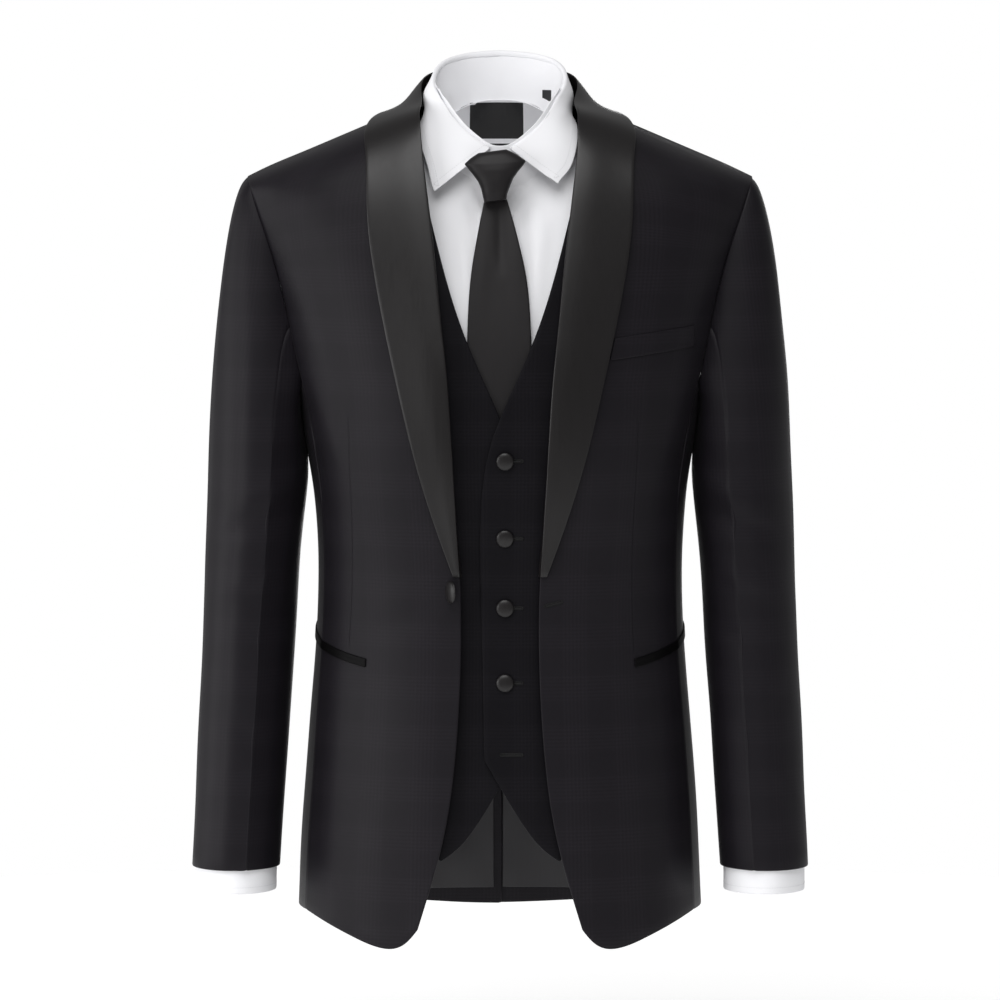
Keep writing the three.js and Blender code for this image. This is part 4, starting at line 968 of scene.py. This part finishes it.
@dataclass
class Tailor:
    """Turns cuts into pieces and keeps what later work needs: finishes, and sheets to sew on."""

    finishes: dict[str, bpy.types.Material]
    sheets: dict[str, Sheet] = field(default_factory=dict)

    def sew(
        self, cut: Cut, slot: str, *reliefs: Fold | Ripple, finish: str | None = None
    ) -> bpy.types.Object:
        """Makes one piece of cloth in place of its solid.

        Args:
            cut: The cut.
            slot: The finish it takes where finish isn't given.
            reliefs: Its folds.
            finish: Its finish, where it isn't the slot's.

        Returns:
            The piece.
        """
        sheet = Sheet.of_solid(cut.node, cut.cloth, cut.wrap, cut.levels).relieve(*reliefs)
        sheet.points = sheet.points + sum(pull.shift(sheet.points) for pull in cut.pulls)
        if cut.let_out:
            sheet.extend(cut.let_out, cut.let_where)
        if cut.lies_on:
            sheet.settle([self.sheets[node] for node in cut.lies_on], cut.cloth + 0.1)
        self.sheets[cut.node] = sheet
        piece = sheet.thicken(cut.cloth, cut.turning)
        self.trim(piece, slot, cut.node, finish=finish)
        tuple(s * MM for s in cut.flat)
        cut.area * MM * MM
        return piece

    def trim(self, piece: bpy.types.Object, slot: str, *nodes: str, finish: str | None = None) -> None:
        """Dresses a piece.

        Args:
            piece: The piece.
            slot: The finish it takes where finish isn't given.
            nodes: The solids that it stands for.
            finish: Its finish, where it isn't the slot's.
        """
        piece.data.materials.append(self.finishes[finish or slot])
        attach(piece, "root")
        if nodes:
            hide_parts(*nodes)

    def mend(self, node: str, places: Iterable[Sequence[float]]) -> list[tuple[Vector, Vector]]:
        """Finds places on a piece as seen from the front.

        Args:
            node: The piece's solid.
            places: x and height of each place in millimetres.

        Returns:
            The point and the normal at each place that lies on the piece.
        """
        tree, found = self.sheets[node].tree(), []
        for x, z in places:
            for nudge in NUDGES:
                start = Vector((x * MM, FRONT_START, (z + nudge) * MM))
                point, normal, _, _ = tree.ray_cast(start, Vector((0, 1, 0)))
                if point:
                    point.z = z * MM
                    found.append((point, normal if normal.y < 0 else -normal))
                    break
        return found


STITCH_RINGS = ((-0.5, 0.25, -0.35), (-0.3, 1, 0.25), (0.3, 1, 0.25), (0.5, 0.25, -0.35))
STITCH_SIDES = 5


def dashes(
    spots: Sequence[tuple[Vector, Vector, Vector]], long: float, wide: float
) -> tuple[np.ndarray, list]:
    """Makes short stitches, each of rings by their place along it, size and height.

    Args:
        spots: The middle, the direction and the normal of each stitch.
        long: Length in millimetres.
        wide: Thickness of the thread in millimetres.

    Returns:
        Points in metres and faces.
    """
    points, faces = [], []
    turns = [2 * math.pi * k / STITCH_SIDES for k in range(STITCH_SIDES)]
    for middle, along, normal in spots:
        across = along.cross(normal).normalized()
        start = len(points)
        for share, size, rise in STITCH_RINGS:
            centre = middle + along * (share * long * MM) + normal * (rise * wide * MM)
            for turn in turns:
                radial = across * math.cos(turn) + normal * math.sin(turn)
                points.append(centre + radial * (size * wide * MM / 2))
        rings = np.arange(start, len(points)).reshape(-1, STITCH_SIDES)
        faces += quads(rings[::-1]) + [rings[0][::-1].tolist(), rings[-1].tolist()]
    return np.array([tuple(p) for p in points]), faces


def border_seam(
    sheet: Sheet, inset: float, pitch: float, wanted: Callable[[Vector], bool]
) -> list[tuple[Vector, Vector, Vector]]:
    """Finds the stitches of a seam that runs along the border of a sheet.

    Args:
        sheet: The cloth.
        inset: How far in from the border, in millimetres.
        pitch: Distance from stitch to stitch in millimetres.
        wanted: Whether there is a stitch at a point.

    Returns:
        The middle, the direction and the normal of each stitch.
    """
    tree, normals, spots = sheet.tree(), sheet.normals(), []
    for loop in sheet.borders():
        line = sheet.points[loop] - sheet.edgewise(loop, normals) * inset * MM
        line = np.concatenate([line, line[:1]])
        lengths = np.concatenate([[0], np.cumsum(np.linalg.norm(np.diff(line, axis=0), axis=1))])
        steps = np.linspace(0, lengths[-1], int(lengths[-1] / (pitch * MM)) + 1)
        walk = np.stack([np.interp(steps, lengths, column) for column in line.T], axis=1)
        for here, ahead in zip(walk, walk[1:]):
            middle, along = Vector((here + ahead) / 2), Vector(ahead - here)
            if along.length < NOTHING or not wanted(middle):
                continue
            point, normal, _, _ = tree.find_nearest(middle)
            if point:
                spots.append((point, along.normalized(), normal))
    return spots


@dataclass(frozen=True)
class CoveredButton:
    """A button covered in satin, with the cloth gathered in behind it.

    The profile gives shares of the radius and of the thickness, from the middle of the face to the shank.
    """

    radius: float
    thick: float
    around: int = 48
    gathers: int = 12
    gather: float = 0.02
    profile: tuple[tuple[float, float], ...] = (
        *((0.0, 0.5), (0.25, 0.485), (0.5, 0.43), (0.7, 0.345), (0.85, 0.22), (0.95, 0.08), (1.0, -0.06)),
        *((1.0, -0.16), (0.94, -0.27), (0.84, -0.33), (0.7, -0.35), (0.45, -0.36), (0.18, -0.36)),
        (0.17, -0.62),
    )

    def build(self, tailor: Tailor, node: str) -> None:
        """Makes a button in place of its solid.

        Args:
            tailor: Where it is dressed.
            node: Name of the solid.
        """
        corners = np.array([v.co for v in frame["nodes"][node].data.vertices])
        middle = Vector((corners.max(0) + corners.min(0)) / 2)
        _, _, axes = np.linalg.svd(corners - corners.mean(0), full_matrices=False)
        face = Vector(axes[2]) * (-1 if axes[2][1] > 0 else 1)
        side = face.orthogonal().normalized()
        other = face.cross(side)
        made = []
        for share, height in self.profile:
            gathered = share * self.gather if -0.34 < height < -0.1 else 0
            for turn in np.linspace(0, 2 * math.pi, self.around, endpoint=False):
                reach = (share + gathered * math.cos(self.gathers * turn)) * self.radius * MM
                radial = (side * math.cos(turn) + other * math.sin(turn)) * reach
                made.append(tuple(middle + radial + face * height * self.thick * MM))
        points, rings = np.array(made), np.arange(len(made)).reshape(-1, self.around)
        tailor.trim(new_piece(node + "_covered", points, quads(rings), points[:, [0, 2]]), "satin", node)


@dataclass(frozen=True)
class Buttonhole:
    """A worked buttonhole: a slit with thread bound round it."""

    start: tuple[float, float]
    end: tuple[float, float]
    half: float = 1.1
    eye: float = 1.25
    pitch: float = 0.5
    stitch: tuple[float, float] = (1.7, 0.55)
    slit_half: float = 0.3
    slit_deep: float = 0.25

    def build(self, tailor: Tailor, node: str, name: str) -> None:
        """Sews the buttonhole on a piece.

        Args:
            tailor: Where it is dressed.
            node: The piece's solid.
            name: Name of the buttonhole.
        """
        start, end = np.array(self.start, float), np.array(self.end, float)
        long = np.linalg.norm(end - start)
        along = (end - start) / long
        across = np.array([-along[1], along[0]])
        steps = [along * self.pitch * i for i in range(int(long / self.pitch) + 1)]
        round_end, round_start = (
            [(along * math.sin(a) + across * math.cos(a)) * self.half for a in np.linspace(0.5, 2.6, count)]
            for count in (7, 6)
        )
        outline = [start + step + across * self.half for step in steps]
        outline += [end + way * self.eye for way in round_end]
        outline += [end - step - across * self.half for step in steps]
        outline += [start - way for way in round_start]
        core = [start + along * np.clip((p - start) @ along, 0, long) for p in outline]
        spots = [
            (point + normal * 0.12 * MM, (point - inner).normalized(), normal)
            for (point, normal), (inner, _) in zip(tailor.mend(node, outline), tailor.mend(node, core))
        ]
        tailor.trim(new_piece(name, *dashes(spots, *self.stitch)), "satin", finish="dark_thread")
        lips = [
            start + along * step + across * way
            for step in np.linspace(0, long, 12)
            for way in (-self.slit_half, self.slit_half)
        ]
        slit = np.array([tuple(point + normal * 0.1 * MM) for point, normal in tailor.mend(node, lips)])
        size = len(slit)
        faces = [(i, i + 2, i + 3, i + 1) for i in range(0, size - 2, 2)]
        faces += [tuple(i + size for i in reversed(f)) for f in faces]
        rim = [*range(0, size, 2), *range(size - 1, 0, -2)]
        faces += [(a, b, b + size, a + size) for a, b in zip(rim, rim[1:] + rim[:1])]
        points = np.concatenate([slit, slit + (0, self.slit_deep * MM, 0)])
        tailor.trim(new_piece(name + "_slit", points, faces), "label")


def armhole_turning(at: np.ndarray) -> np.ndarray:
    """Gives how deep the cloth is turned in at the armhole, and nothing elsewhere.

    Args:
        at: Points on an edge in millimetres.

    Returns:
        Depths in millimetres.
    """
    lowest, innermost, deep = -330, 120, 7
    return deep * np.clip((at[:, 2] - lowest) / 40, 0, 1) * np.clip((np.abs(at[:, 0]) - innermost) / 20, 0, 1)


def upward(_: np.ndarray, out: np.ndarray) -> np.ndarray:
    """Gives how far up each way out of a border looks, from 0 for level or down, to 1."""
    return np.clip(out[:, 2] * 3 - 1, 0, 1)


def at_the_seam(at: np.ndarray, _: np.ndarray) -> np.ndarray:
    """Tells the lower border of the collar's stand from its top."""
    return at[:, 2] < 8


def folds(sign: int, *rows: tuple[float, float, float, float, float, float]) -> list[Fold]:
    """Makes folds on one side from rows for the left: start, end, rise and width."""
    return [Fold((sign * u0, v0), (sign * u1, v1), rise, wide) for u0, v0, u1, v1, rise, wide in rows]


@dataclass
class Jacket:
    """The dinner jacket: body, sleeves, shawl collar, back lining, pockets and button."""

    cloth: float = 2.0
    collar_cloth: float = 1.6
    lining_cloth: float = 1.0
    pocket_cloth: float = 1.2
    button: CoveredButton = CoveredButton(10.5, 4.2)
    buttonhole: Buttonhole = Buttonhole((41, -454.5), (55, -451))
    darts: tuple = (((125.5, -283), (122, -501)), ((-137.5, -283), (-138, -497)))
    front_folds: tuple = (
        (205, -190, 150, -330, 1.6, 15),
        (222, -240, 178, -370, -1.6, 11),
        (120, -480, 52, -455, -0.8, 12),
        (150, -540, 140, -820, 1.1, 24),
        (95, -520, 80, -900, -0.9, 20),
    )
    back_folds: tuple = (
        (270, -150, 235, -330, -2.2, 12),
        (245, -170, 215, -350, 1.8, 14),
        (330, -410, 250, -450, -1.6, 12),
        (380, -560, 370, -750, 1.0, 18),
    )
    sleeve_folds: tuple = (
        (-60, -330, 20, -370, 1.8, 10),
        (-50, -365, 45, -405, -2.0, 9),
        (-40, -420, 40, -452, 1.6, 10),
        (-55, -470, 15, -500, -1.4, 9),
        (90, -200, 80, -420, 1.2, 16),
        (30, -540, -25, -600, -1.1, 10),
        (10, -610, 60, -655, 1.0, 9),
    )

    def build(self, tailor: Tailor) -> None:
        """Makes the whole jacket.

        Args:
            tailor: Where its pieces are sewn.
        """
        for side, sign in SIDES.items():
            self._body(tailor, side, sign)
            self._sleeve(tailor, side, sign)
            self._trim(tailor, side, sign)
        self.button.build(tailor, "jacket_button")
        self.buttonhole.build(tailor, "jacket_front_left", "jacket_buttonhole")

    def _body(self, tailor: Tailor, side: str, sign: int) -> None:
        """Makes the panels of one half of the body.

        Args:
            tailor: Where they are sewn.
            side: The wearer's side.
            sign: Its sign along X.
        """
        left = sign > 0
        seed = 3 if left else 8
        even = Ripple(0.28, 120, seed)
        out = (Pull((sign * 174, 0, -310), (22, 70, 34), (sign * 1.8, 0, 0)),)
        panels = (
            ("front", (225, 770), 123400, [even, *folds(sign, *self.front_folds)]),
            ("back", (280, 765), 162000, [Ripple(0.4, 110, seed + 20), *folds(sign, *self.back_folds)]),
            ("side", (125, 488), 51800, [even]),
        )
        for panel, flat, area, reliefs in panels:
            node = f"jacket_{panel}_{side}"
            cut = Cut(node, self.cloth, flat, area, levels=3, turning=armhole_turning, pulls=out)
            piece = tailor.sew(cut, "wool", *reliefs)
            if panel == "front":
                # The front's wool has the dart's groove painted darker, as painted shade, beside its bump.
                ends = [tuple(point) for point, _ in tailor.mend(node, self.darts[0 if left else 1])]
                dart = FIGURE.coordinates(np.array(ends), Wrap.BODY).tolist()
                piece.data.materials[0] = Worsted((tuple(dart[0]), tuple(dart[1]))).material()
        lining = Cut(f"jacket_lining_{side}", self.lining_cloth, (190, 195), 31700, held="hung")
        tailor.sew(lining, "lining", Ripple(0.5, 60, seed + 40))
        roll = (Pull((sign * 72, -28, -12), (20, 55, 28), (-8.5 if left else 4, 0, 0)),)
        collar = Cut(f"jacket_collar_{side}", self.collar_cloth, (120, 560), 35600, Wrap.NECK, 3, pulls=roll)
        tailor.sew(collar, "satin", Ripple(0.15, 90, seed + 60))

    def _sleeve(self, tailor: Tailor, side: str, sign: int) -> None:
        """Makes one two-piece sleeve.

        Args:
            tailor: Where it is sewn.
            side: The wearer's side.
            sign: Its sign along X.
        """
        reliefs = [Ripple(0.45, 90, 11 if sign > 0 else 17), *folds(1, *self.sleeve_folds)]
        close = (
            Pull((sign * 178, 0, -295), (20, 70, 42), (sign * -3, 0, 0)),
            Pull((sign * 185, 0, -256), (14, 90, 15), (sign * -2.2, 0, 0)),
        )
        for half, flat, area in (("top", (225, 640), 120000), ("under", (150, 508), 62800)):
            node = f"jacket_sleeve_{half}_{side}"
            cut = Cut(node, self.cloth, flat, area, Wrap.ARM, 3, turning=armhole_turning, pulls=close)
            tailor.sew(cut, "wool", *reliefs)

    def _trim(self, tailor: Tailor, side: str, sign: int) -> None:
        """Makes the satin jets of one hip pocket, and the welt on the left chest.

        Args:
            tailor: Where they are sewn.
            side: The wearer's side.
            sign: Its sign along X.
        """
        short = (Pull((sign * 117, -90, -512), (30, 70, 40), (sign * 8, 0, 0)),)
        body = tuple(f"jacket_{panel}_{side}" for panel in ("front", "side", "back"))
        for jet in ("upper", "lower"):
            node = f"jacket_pocket_{jet}_{side}"
            cut = Cut(node, self.pocket_cloth, (133, 10), 620, held="stretched", pulls=short, lies_on=body)
            tailor.sew(cut, "satin", finish="jet")
        if side == "left":
            flat, area = (97, 19.6), 1800
            cut = Cut("jacket_breast_welt", self.pocket_cloth, flat, area, held="stretched", lies_on=body)
            tailor.sew(cut, "wool")


@dataclass
class Waistcoat:
    """The waistcoat: two fronts, left over right, a back, buttons and buttonholes.

    The lowest buttonhole has no button.
    """

    cloth: float = 1.6
    button: CoveredButton = CoveredButton(8.0, 3.6)
    heights: tuple[float, ...] = (-323, -393.5, -457, -525, -590)
    starts: tuple[float, ...] = (3.0, 3.0, 3.0, 3.0, 1.5)
    end: float = 19.5
    front_folds: tuple = ((60, -420, 20, -440, -0.6, 9), (75, -560, 60, -700, 0.8, 16))

    def build(self, tailor: Tailor) -> None:
        """Makes the whole waistcoat.

        Args:
            tailor: Where its pieces are sewn.
        """
        for side, sign in SIDES.items():
            front = Cut(f"waistcoat_front_{side}", self.cloth, (235, 680), 104700, levels=3)
            reliefs = (Ripple(0.25, 100, 30 + sign), *folds(sign, *self.front_folds))
            # The fronts take the darker copy of the wool, painted shade from the jacket over them.
            tailor.sew(front, "wool", *reliefs, finish="waistcoat")
        tailor.sew(Cut("waistcoat_back", self.cloth, (470, 605), 272000), "lining", Ripple(0.4, 110, 35))
        for number in range(1, len(self.heights)):
            self.button.build(tailor, f"waistcoat_button_{number}")
        for number, (start, height) in enumerate(zip(self.starts, self.heights), 1):
            hole = Buttonhole((start, height), (self.end, height))
            hole.build(tailor, "waistcoat_front_left", f"waistcoat_buttonhole_{number}")


# The pulls that give the neck the lean of the worn collar.
LEAN = {
    "left": Pull((72, -30, -18), (26, 50, 28), (-6.5, 0, 0)),
    "right": Pull((-72, -20, -14), (26, 45, 22), (3, 0, 0)),
}
BOTH = tuple(LEAN.values())
NECK_TOP = (Pull((-66, 10, 16), (40, 34, 9), (-1.8, 0, 0)), *BOTH)
FALL = (
    Pull((-66, 10, 4), (40, 34, 13), (-5, 0, 0)),
    Pull((66, 10, 4), (40, 34, 13), (3, 0, 0)),
    Pull((-57, -87, -76), (14, 20, 14), (-3, 0, -3)),
    Pull((57, -87, -76), (14, 20, 14), (-4.2, 0, 4.5)),
    *BOTH,
)


@dataclass
class Shirt:
    """The dress shirt: fronts and placket, yoke, back, sleeves, cuffs and collar."""

    cloth: float = 1.0
    placket_cloth: float = 0.8
    cuff_cloth: float = 2.2
    stand_cloth: float = 1.2
    fall_cloth: float = 1.4
    stitch: float = 2.4
    stitch_share: float = 0.72
    thread: float = 0.35
    stand_let_down: tuple = ((1.1, 0), (2.2, 0), (3.2, 0))
    fall_roll: tuple = ((0.9, 0.8), (1.3, 2.4), (0.8, 4.0), (-1.0, 4.8), (-3.2, 4.8))
    placket_wider: Pull = Pull((-17, -110, -150), (12, 40, 90), (-5.5, 0, 0))
    placket_edge: Fold = Fold((-21, -92), (-21, -230), -1.8, 4)
    front_folds: tuple = (
        (31, -38, 12, -74, -3, 5),
        (36, -62, 24, -108, -2.4, 6),
        (46, -90, 28, -200, 2.2, 9),
        (70, -150, 60, -320, -1.2, 11),
    )

    def build(self, tailor: Tailor) -> None:
        """Makes the whole shirt.

        Args:
            tailor: Where its pieces are sewn.
        """
        for side, sign in SIDES.items():
            front = Cut(f"shirt_front_{side}", self.cloth, (260, 580), 117600, levels=3, pulls=(LEAN[side],))
            reliefs = (Ripple(0.3, 80, 50 + sign), self.placket_edge, *folds(sign, *self.front_folds))
            tailor.sew(front, "shirt", *reliefs)
            tailor.sew(Cut(f"shirt_sleeve_{side}", self.cloth, (290, 580), 147500, Wrap.ARM, 1), "shirt")
            cuff = Cut(f"shirt_cuff_{side}", self.cuff_cloth, (282, 67.4), 18900, Wrap.ARM, 3)
            tailor.sew(cuff, "shirt", Ripple(0.2, 50, 55 + sign))
        tailor.sew(Cut("shirt_yoke", self.cloth, (450, 125), 44600, levels=3, pulls=BOTH), "shirt")
        tailor.sew(Cut("shirt_back", self.cloth, (420, 540), 204000), "shirt", Ripple(0.4, 110, 57))
        placket = Cut(
            "shirt_placket",
            self.placket_cloth,
            (35.2, 494),
            17290,
            held="stretched",
            pulls=(self.placket_wider,),
            lies_on=("shirt_front_left", "shirt_front_right"),
        )
        tailor.sew(placket, "shirt")
        let_down, roll = (self.stand_let_down, at_the_seam), (self.fall_roll, upward)
        collar = (
            ("stand", self.stand_cloth, (400, 48), 17200, "stretched", NECK_TOP, let_down, Ripple(0.2, 40, 58)),
            ("fall", self.fall_cloth, (400, 62), 18950, "folded", FALL, roll, Ripple(0.15, 50, 59)),
        )
        for part, cloth, flat, area, held, pulls, let_out, ripple in collar:
            node = f"shirt_collar_{part}"
            cut = Cut(node, cloth, flat, area, Wrap.NECK, 3, held, None, pulls, *let_out)
            tailor.sew(cut, "shirt", ripple)
        self._stitching(tailor)

    def _stitching(self, tailor: Tailor) -> None:
        """Sews the lines of stitches that show.

        Args:
            tailor: Where they are dressed.
        """
        seams = {
            "shirt_collar_fall": (5.5, lambda p: p.z < 0.02),
            "shirt_placket": (5.5, lambda p: abs(p.x) > 0.008),
            "shirt_cuff_left": (5.0, lambda p: p.z < -0.7),
            "shirt_cuff_right": (5.0, lambda p: p.z < -0.7),
        }
        for node, (inset, wanted) in seams.items():
            spots = border_seam(tailor.sheets[node], inset, self.stitch, wanted)
            points, faces = dashes(spots, self.stitch * self.stitch_share, self.thread)
            tailor.trim(new_piece(node + "_stitches", points, faces), "shirt", finish="white_thread")


@dataclass
class Tie:
    """The long tie: knot, blade and the band under the collar.

    Each row of the knot gives its left and right ends as seen from the front, by x and height. Its first
    and last rows have only a share of its depth, which ends gives, so that it closes softly.
    """

    cloth: float = 2.4
    band_cloth: float = 0.8
    around: int = 44
    count: int = 34
    ends: tuple[float, float] = (0.45, 0.85)
    blade_folds: tuple = (
        (0, -88, 1, -150, -1.6, 5),
        (-12, -95, -18, -190, 0.7, 7),
        (12, -95, 18, -190, 0.7, 7),
    )
    knot: tuple = (
        (-19.7, -46.0, 5.9, -42.7),
        (-26.7, -50.7, 15.0, -47.1),
        (-32.4, -56.0, 23.6, -53.0),
        (-29.4, -59.5, 21.3, -56.7),
        (-24.4, -65.5, 16.3, -62.7),
        (-19.7, -72.0, 11.9, -69.0),
        (-17.2, -77.9, 9.1, -76.0),
        (-15.8, -84.2, 6.7, -82.7),
        (-14.8, -88.4, 6.1, -85.7),
        (-14.1, -91.0, 5.9, -88.0),
    )

    def build(self, tailor: Tailor) -> None:
        """Makes the tie.

        Args:
            tailor: Where its pieces are sewn.
        """
        blade = Cut("tie_blade", self.cloth, (66, 374), 20700, Wrap.FRONT, 3, "hung")
        tailor.sew(blade, "tie", *folds(1, *self.blade_folds))
        band = Cut("tie_band", self.band_cloth, (330, 18), 5710, Wrap.NECK, 2, "stretched", pulls=NECK_TOP)
        tailor.sew(band, "tie")
        self._knot(tailor)

    def _knot(self, tailor: Tailor) -> None:
        """Makes the knot: rows from side to side, full in front, with crisp ends.

        Args:
            tailor: Where it is dressed.
        """
        solid = frame["nodes"]["tie_knot"].data
        corners, sides = [v.co for v in solid.vertices], [tuple(p.vertices) for p in solid.polygons]
        tree = BVHTree.FromPolygons(corners, sides)
        low, high = (Vector(corner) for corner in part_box("tie_knot"))
        points, table = [], np.array(self.knot)
        for index, row in enumerate(np.linspace(0, len(table) - 1, self.count)):
            ends = (np.interp(row, range(len(table)), column) for column in table.T)
            left_x, left_z, right_x, right_z = ends
            middle_x, middle_z = (left_x + right_x) / 2, (left_z + right_z) / 2
            level = min(max(middle_z * MM, low.z + 2 * MM), high.z - 2 * MM)
            start = Vector((middle_x * MM, FRONT_START, level))
            front = tree.ray_cast(start, Vector((0, 1, 0)))[0]
            back = tree.ray_cast(start + Vector((0, 0.6, 0)), Vector((0, -1, 0)))[0]
            full = dict(enumerate(self.ends)).get(min(index, self.count - 1 - index), 1)
            half_deep = (back.y - front.y) / 2 * full
            for turn in np.linspace(0, 2 * math.pi, self.around, endpoint=False):
                side, fore = math.sin(turn), math.cos(turn)
                side = math.copysign(abs(side) ** 0.85, side)
                deep = math.copysign(abs(fore) ** 0.8, fore) * half_deep
                x = middle_x + side * (right_x - left_x) / 2 * (0.97 + 0.03 * full)
                z = middle_z + side * (right_z - left_z) / 2
                points.append((x * MM, (front.y + back.y) / 2 - deep, z * MM))
        points, rings = np.array(points), np.arange(len(points)).reshape(-1, self.around)
        faces = quads(rings) + [rings[0].tolist(), rings[-1][::-1].tolist()]
        tailor.trim(new_piece("tie_knot_silk", points, faces, points[:, [0, 2]]), "tie", "tie_knot")


@dataclass(frozen=True)
class Label:
    """A bare woven label: where it is seen from the front, and the flat size of its tape.

    One that hangs continues the slope of the cloth just above it, over a seam allowance.
    """

    node: str
    on: str
    lift: float
    span: tuple[float, float]
    heights: tuple[float, float]
    flat: tuple[float, float]
    grid: tuple[int, int] = (24, 18)
    hangs: bool = False


@dataclass
class NeckLabels:
    """The bare woven labels inside the shirt's neck."""

    cloth: float = 0.5
    seam: float = 3
    labels: tuple[Label, ...] = (
        Label("label_main", "shirt_yoke", 1.15, (-28, 21.6), (-37.6, -3.6), (50, 46)),
        Label("label_strip", "shirt_yoke", 1.15, (-25.3, 10), (-49.8, -42.6), (36, 10)),
        Label("label_size", "shirt_collar_stand", 1.35, (40, 48), (-2.4, 7.4), (13, 10.3), (8, 8), True),
    )

    def build(self, tailor: Tailor) -> None:
        """Makes the labels.

        Args:
            tailor: Where they are sewn.
        """
        for label in self.labels:
            columns, rows = label.grid
            xs, zs = np.linspace(*label.span, columns), np.linspace(*label.heights, rows)
            top = label.heights[1]
            sewn = (top, top + self.seam) if label.hangs else zs
            hits = tailor.mend(label.on, [(x, z) for z in sewn for x in xs])
            points = np.array([tuple(point + normal * label.lift * MM) for point, normal in hits])
            if label.hangs:
                seam, above = points.reshape(2, columns, 3)
                points = np.concatenate([seam + (seam - above) * (top - z) / self.seam for z in zs])
            corners = (np.arange(rows - 1)[:, None] * columns + np.arange(columns - 1)).ravel().tolist()
            faces = [(i, i + 1, i + columns + 1, i + columns) for i in corners]
            piece = Sheet(label.node, points, faces, Wrap.FRONT).thicken(self.cloth)
            tailor.trim(piece, "label", label.node)
            flat = tuple(side * MM for side in label.flat)


# Studio

# The middle of the suit in the picture, in metres.
MIDDLE = (0, 0, -0.368)


@dataclass(frozen=True)
class Lamp:
    """A soft round lamp, by its place, size, target in metres and power in watts."""

    name: str
    place: tuple[float, float, float]
    size: float
    power: float
    target: tuple[float, float, float] = MIDDLE

    def build(self) -> None:
        """Sets up the lamp, out of the camera's sight."""
        lamp = bpy.data.lights.new(self.name, "AREA")
        lamp.shape, lamp.size, lamp.energy = "DISK", self.size, self.power
        light = bpy.data.objects.new(self.name, lamp)
        light.location = self.place
        light.rotation_euler = (Vector(self.target) - light.location).to_track_quat("-Z", "Y").to_euler()
        light.visible_camera = False
        bpy.context.scene.collection.objects.link(light)


@dataclass
class Studio:
    """A pale floor, soft light, and the camera in front."""

    look_at: tuple[float, float, float] = MIDDLE
    distance: float = 7.0
    elevation: float = 4.5
    view_width: float = 0.92
    sensor: float = 36
    floor: float = -0.95
    floor_radius: float = 1.9
    floor_corners: int = 96
    floor_glow: float = 0.34
    soft_light: float = 0.31
    lamps: tuple[Lamp, ...] = (
        Lamp("key", (-3.2, -2.3, 0.0), 2.2, 50),
        Lamp("side", (-3.9, 0.2, -0.2), 2.6, 36),
        Lamp("above", (-0.6, -3.0, 3.5), 4.0, 160),
        Lamp("back", (0.3, 3.9, -0.3), 1.6, 24),
        Lamp("neck", (0, -0.02, -0.17), 0.1, 0.06, (0, 0.07, 0)),
    )

    def build(self) -> None:
        """Makes the whole studio."""
        scene = bpy.context.scene
        scene.view_settings.view_transform = "Standard"
        target, rise = Vector(self.look_at), math.radians(self.elevation)
        camera = bpy.data.objects.new("camera", bpy.data.cameras.new("camera"))
        camera.location = target + Vector((0, -math.cos(rise), math.sin(rise))) * self.distance
        camera.rotation_euler = (target - camera.location).to_track_quat("-Z", "Y").to_euler()
        camera.data.sensor_width = self.sensor
        camera.data.lens = self.sensor * self.distance / self.view_width
        camera.data.clip_end = 100
        scene.collection.objects.link(camera)
        scene.camera = camera
        for lamp in self.lamps:
            lamp.build()
        self._world(scene)
        self._floor()

    def _world(self, scene: bpy.types.Scene) -> None:
        """Gives soft light from all round, under a white backdrop.

        Args:
            scene: The scene.
        """
        world = bpy.data.worlds.new("studio")
        world.use_nodes = True
        scene.world = world
        nodes, links = world.node_tree.nodes, world.node_tree.links
        soft, white = nodes["Background"], nodes.new("ShaderNodeBackground")
        for background, strength in ((soft, self.soft_light), (white, 1)):
            background.inputs["Color"].default_value = (1, 1, 1, 1)
            background.inputs["Strength"].default_value = strength
        path, mixed = nodes.new("ShaderNodeLightPath"), nodes.new("ShaderNodeMixShader")
        links.new(path.outputs["Is Camera Ray"], mixed.inputs[0])
        links.new(soft.outputs[0], mixed.inputs[1])
        links.new(white.outputs[0], mixed.inputs[2])
        links.new(mixed.outputs[0], nodes["World Output"].inputs["Surface"])

    def _floor(self) -> None:
        """Lays the pale floor."""
        turns = np.linspace(0, 2 * math.pi, self.floor_corners, endpoint=False)
        rim = [(self.floor_radius * math.cos(a), self.floor_radius * math.sin(a), self.floor) for a in turns]
        floor = new_piece("floor", np.array(rim), [tuple(range(self.floor_corners))])
        graph = Graph("pale_floor")
        pale = graph.mix(graph.noise(900, 1), (0.97, 0.97, 0.97, 1), (0.99, 0.99, 0.99, 1))
        graph.feed(graph.shader.inputs["Base Color"], pale)
        graph.feed(graph.shader.inputs["Emission Color"], (1, 1, 1, 1))
        finish = graph.finish(Roughness=0.9, Specular_IOR_Level=0.1, Emission_Strength=self.floor_glow)
        floor.data.materials.append(finish)


def main() -> None:
    """Builds the studio and every garment in order, and reports each."""
    Studio().build()
    tailor = Tailor({name: finish.material() for name, finish in FINISHES.items()})
    for garment in (Shirt(), Waistcoat(), Jacket(), Tie(), NeckLabels()):
        before = set(bpy.data.objects)
        garment.build(tailor)
        for piece in sorted(set(bpy.data.objects) - before, key=lambda o: o.name):
            log.info("%s: %s, %d faces", type(garment).__name__, piece.name, len(piece.data.polygons))


if __name__ == "__main__":
    logging.basicConfig(level=logging.INFO, format="%(message)s")
    main()
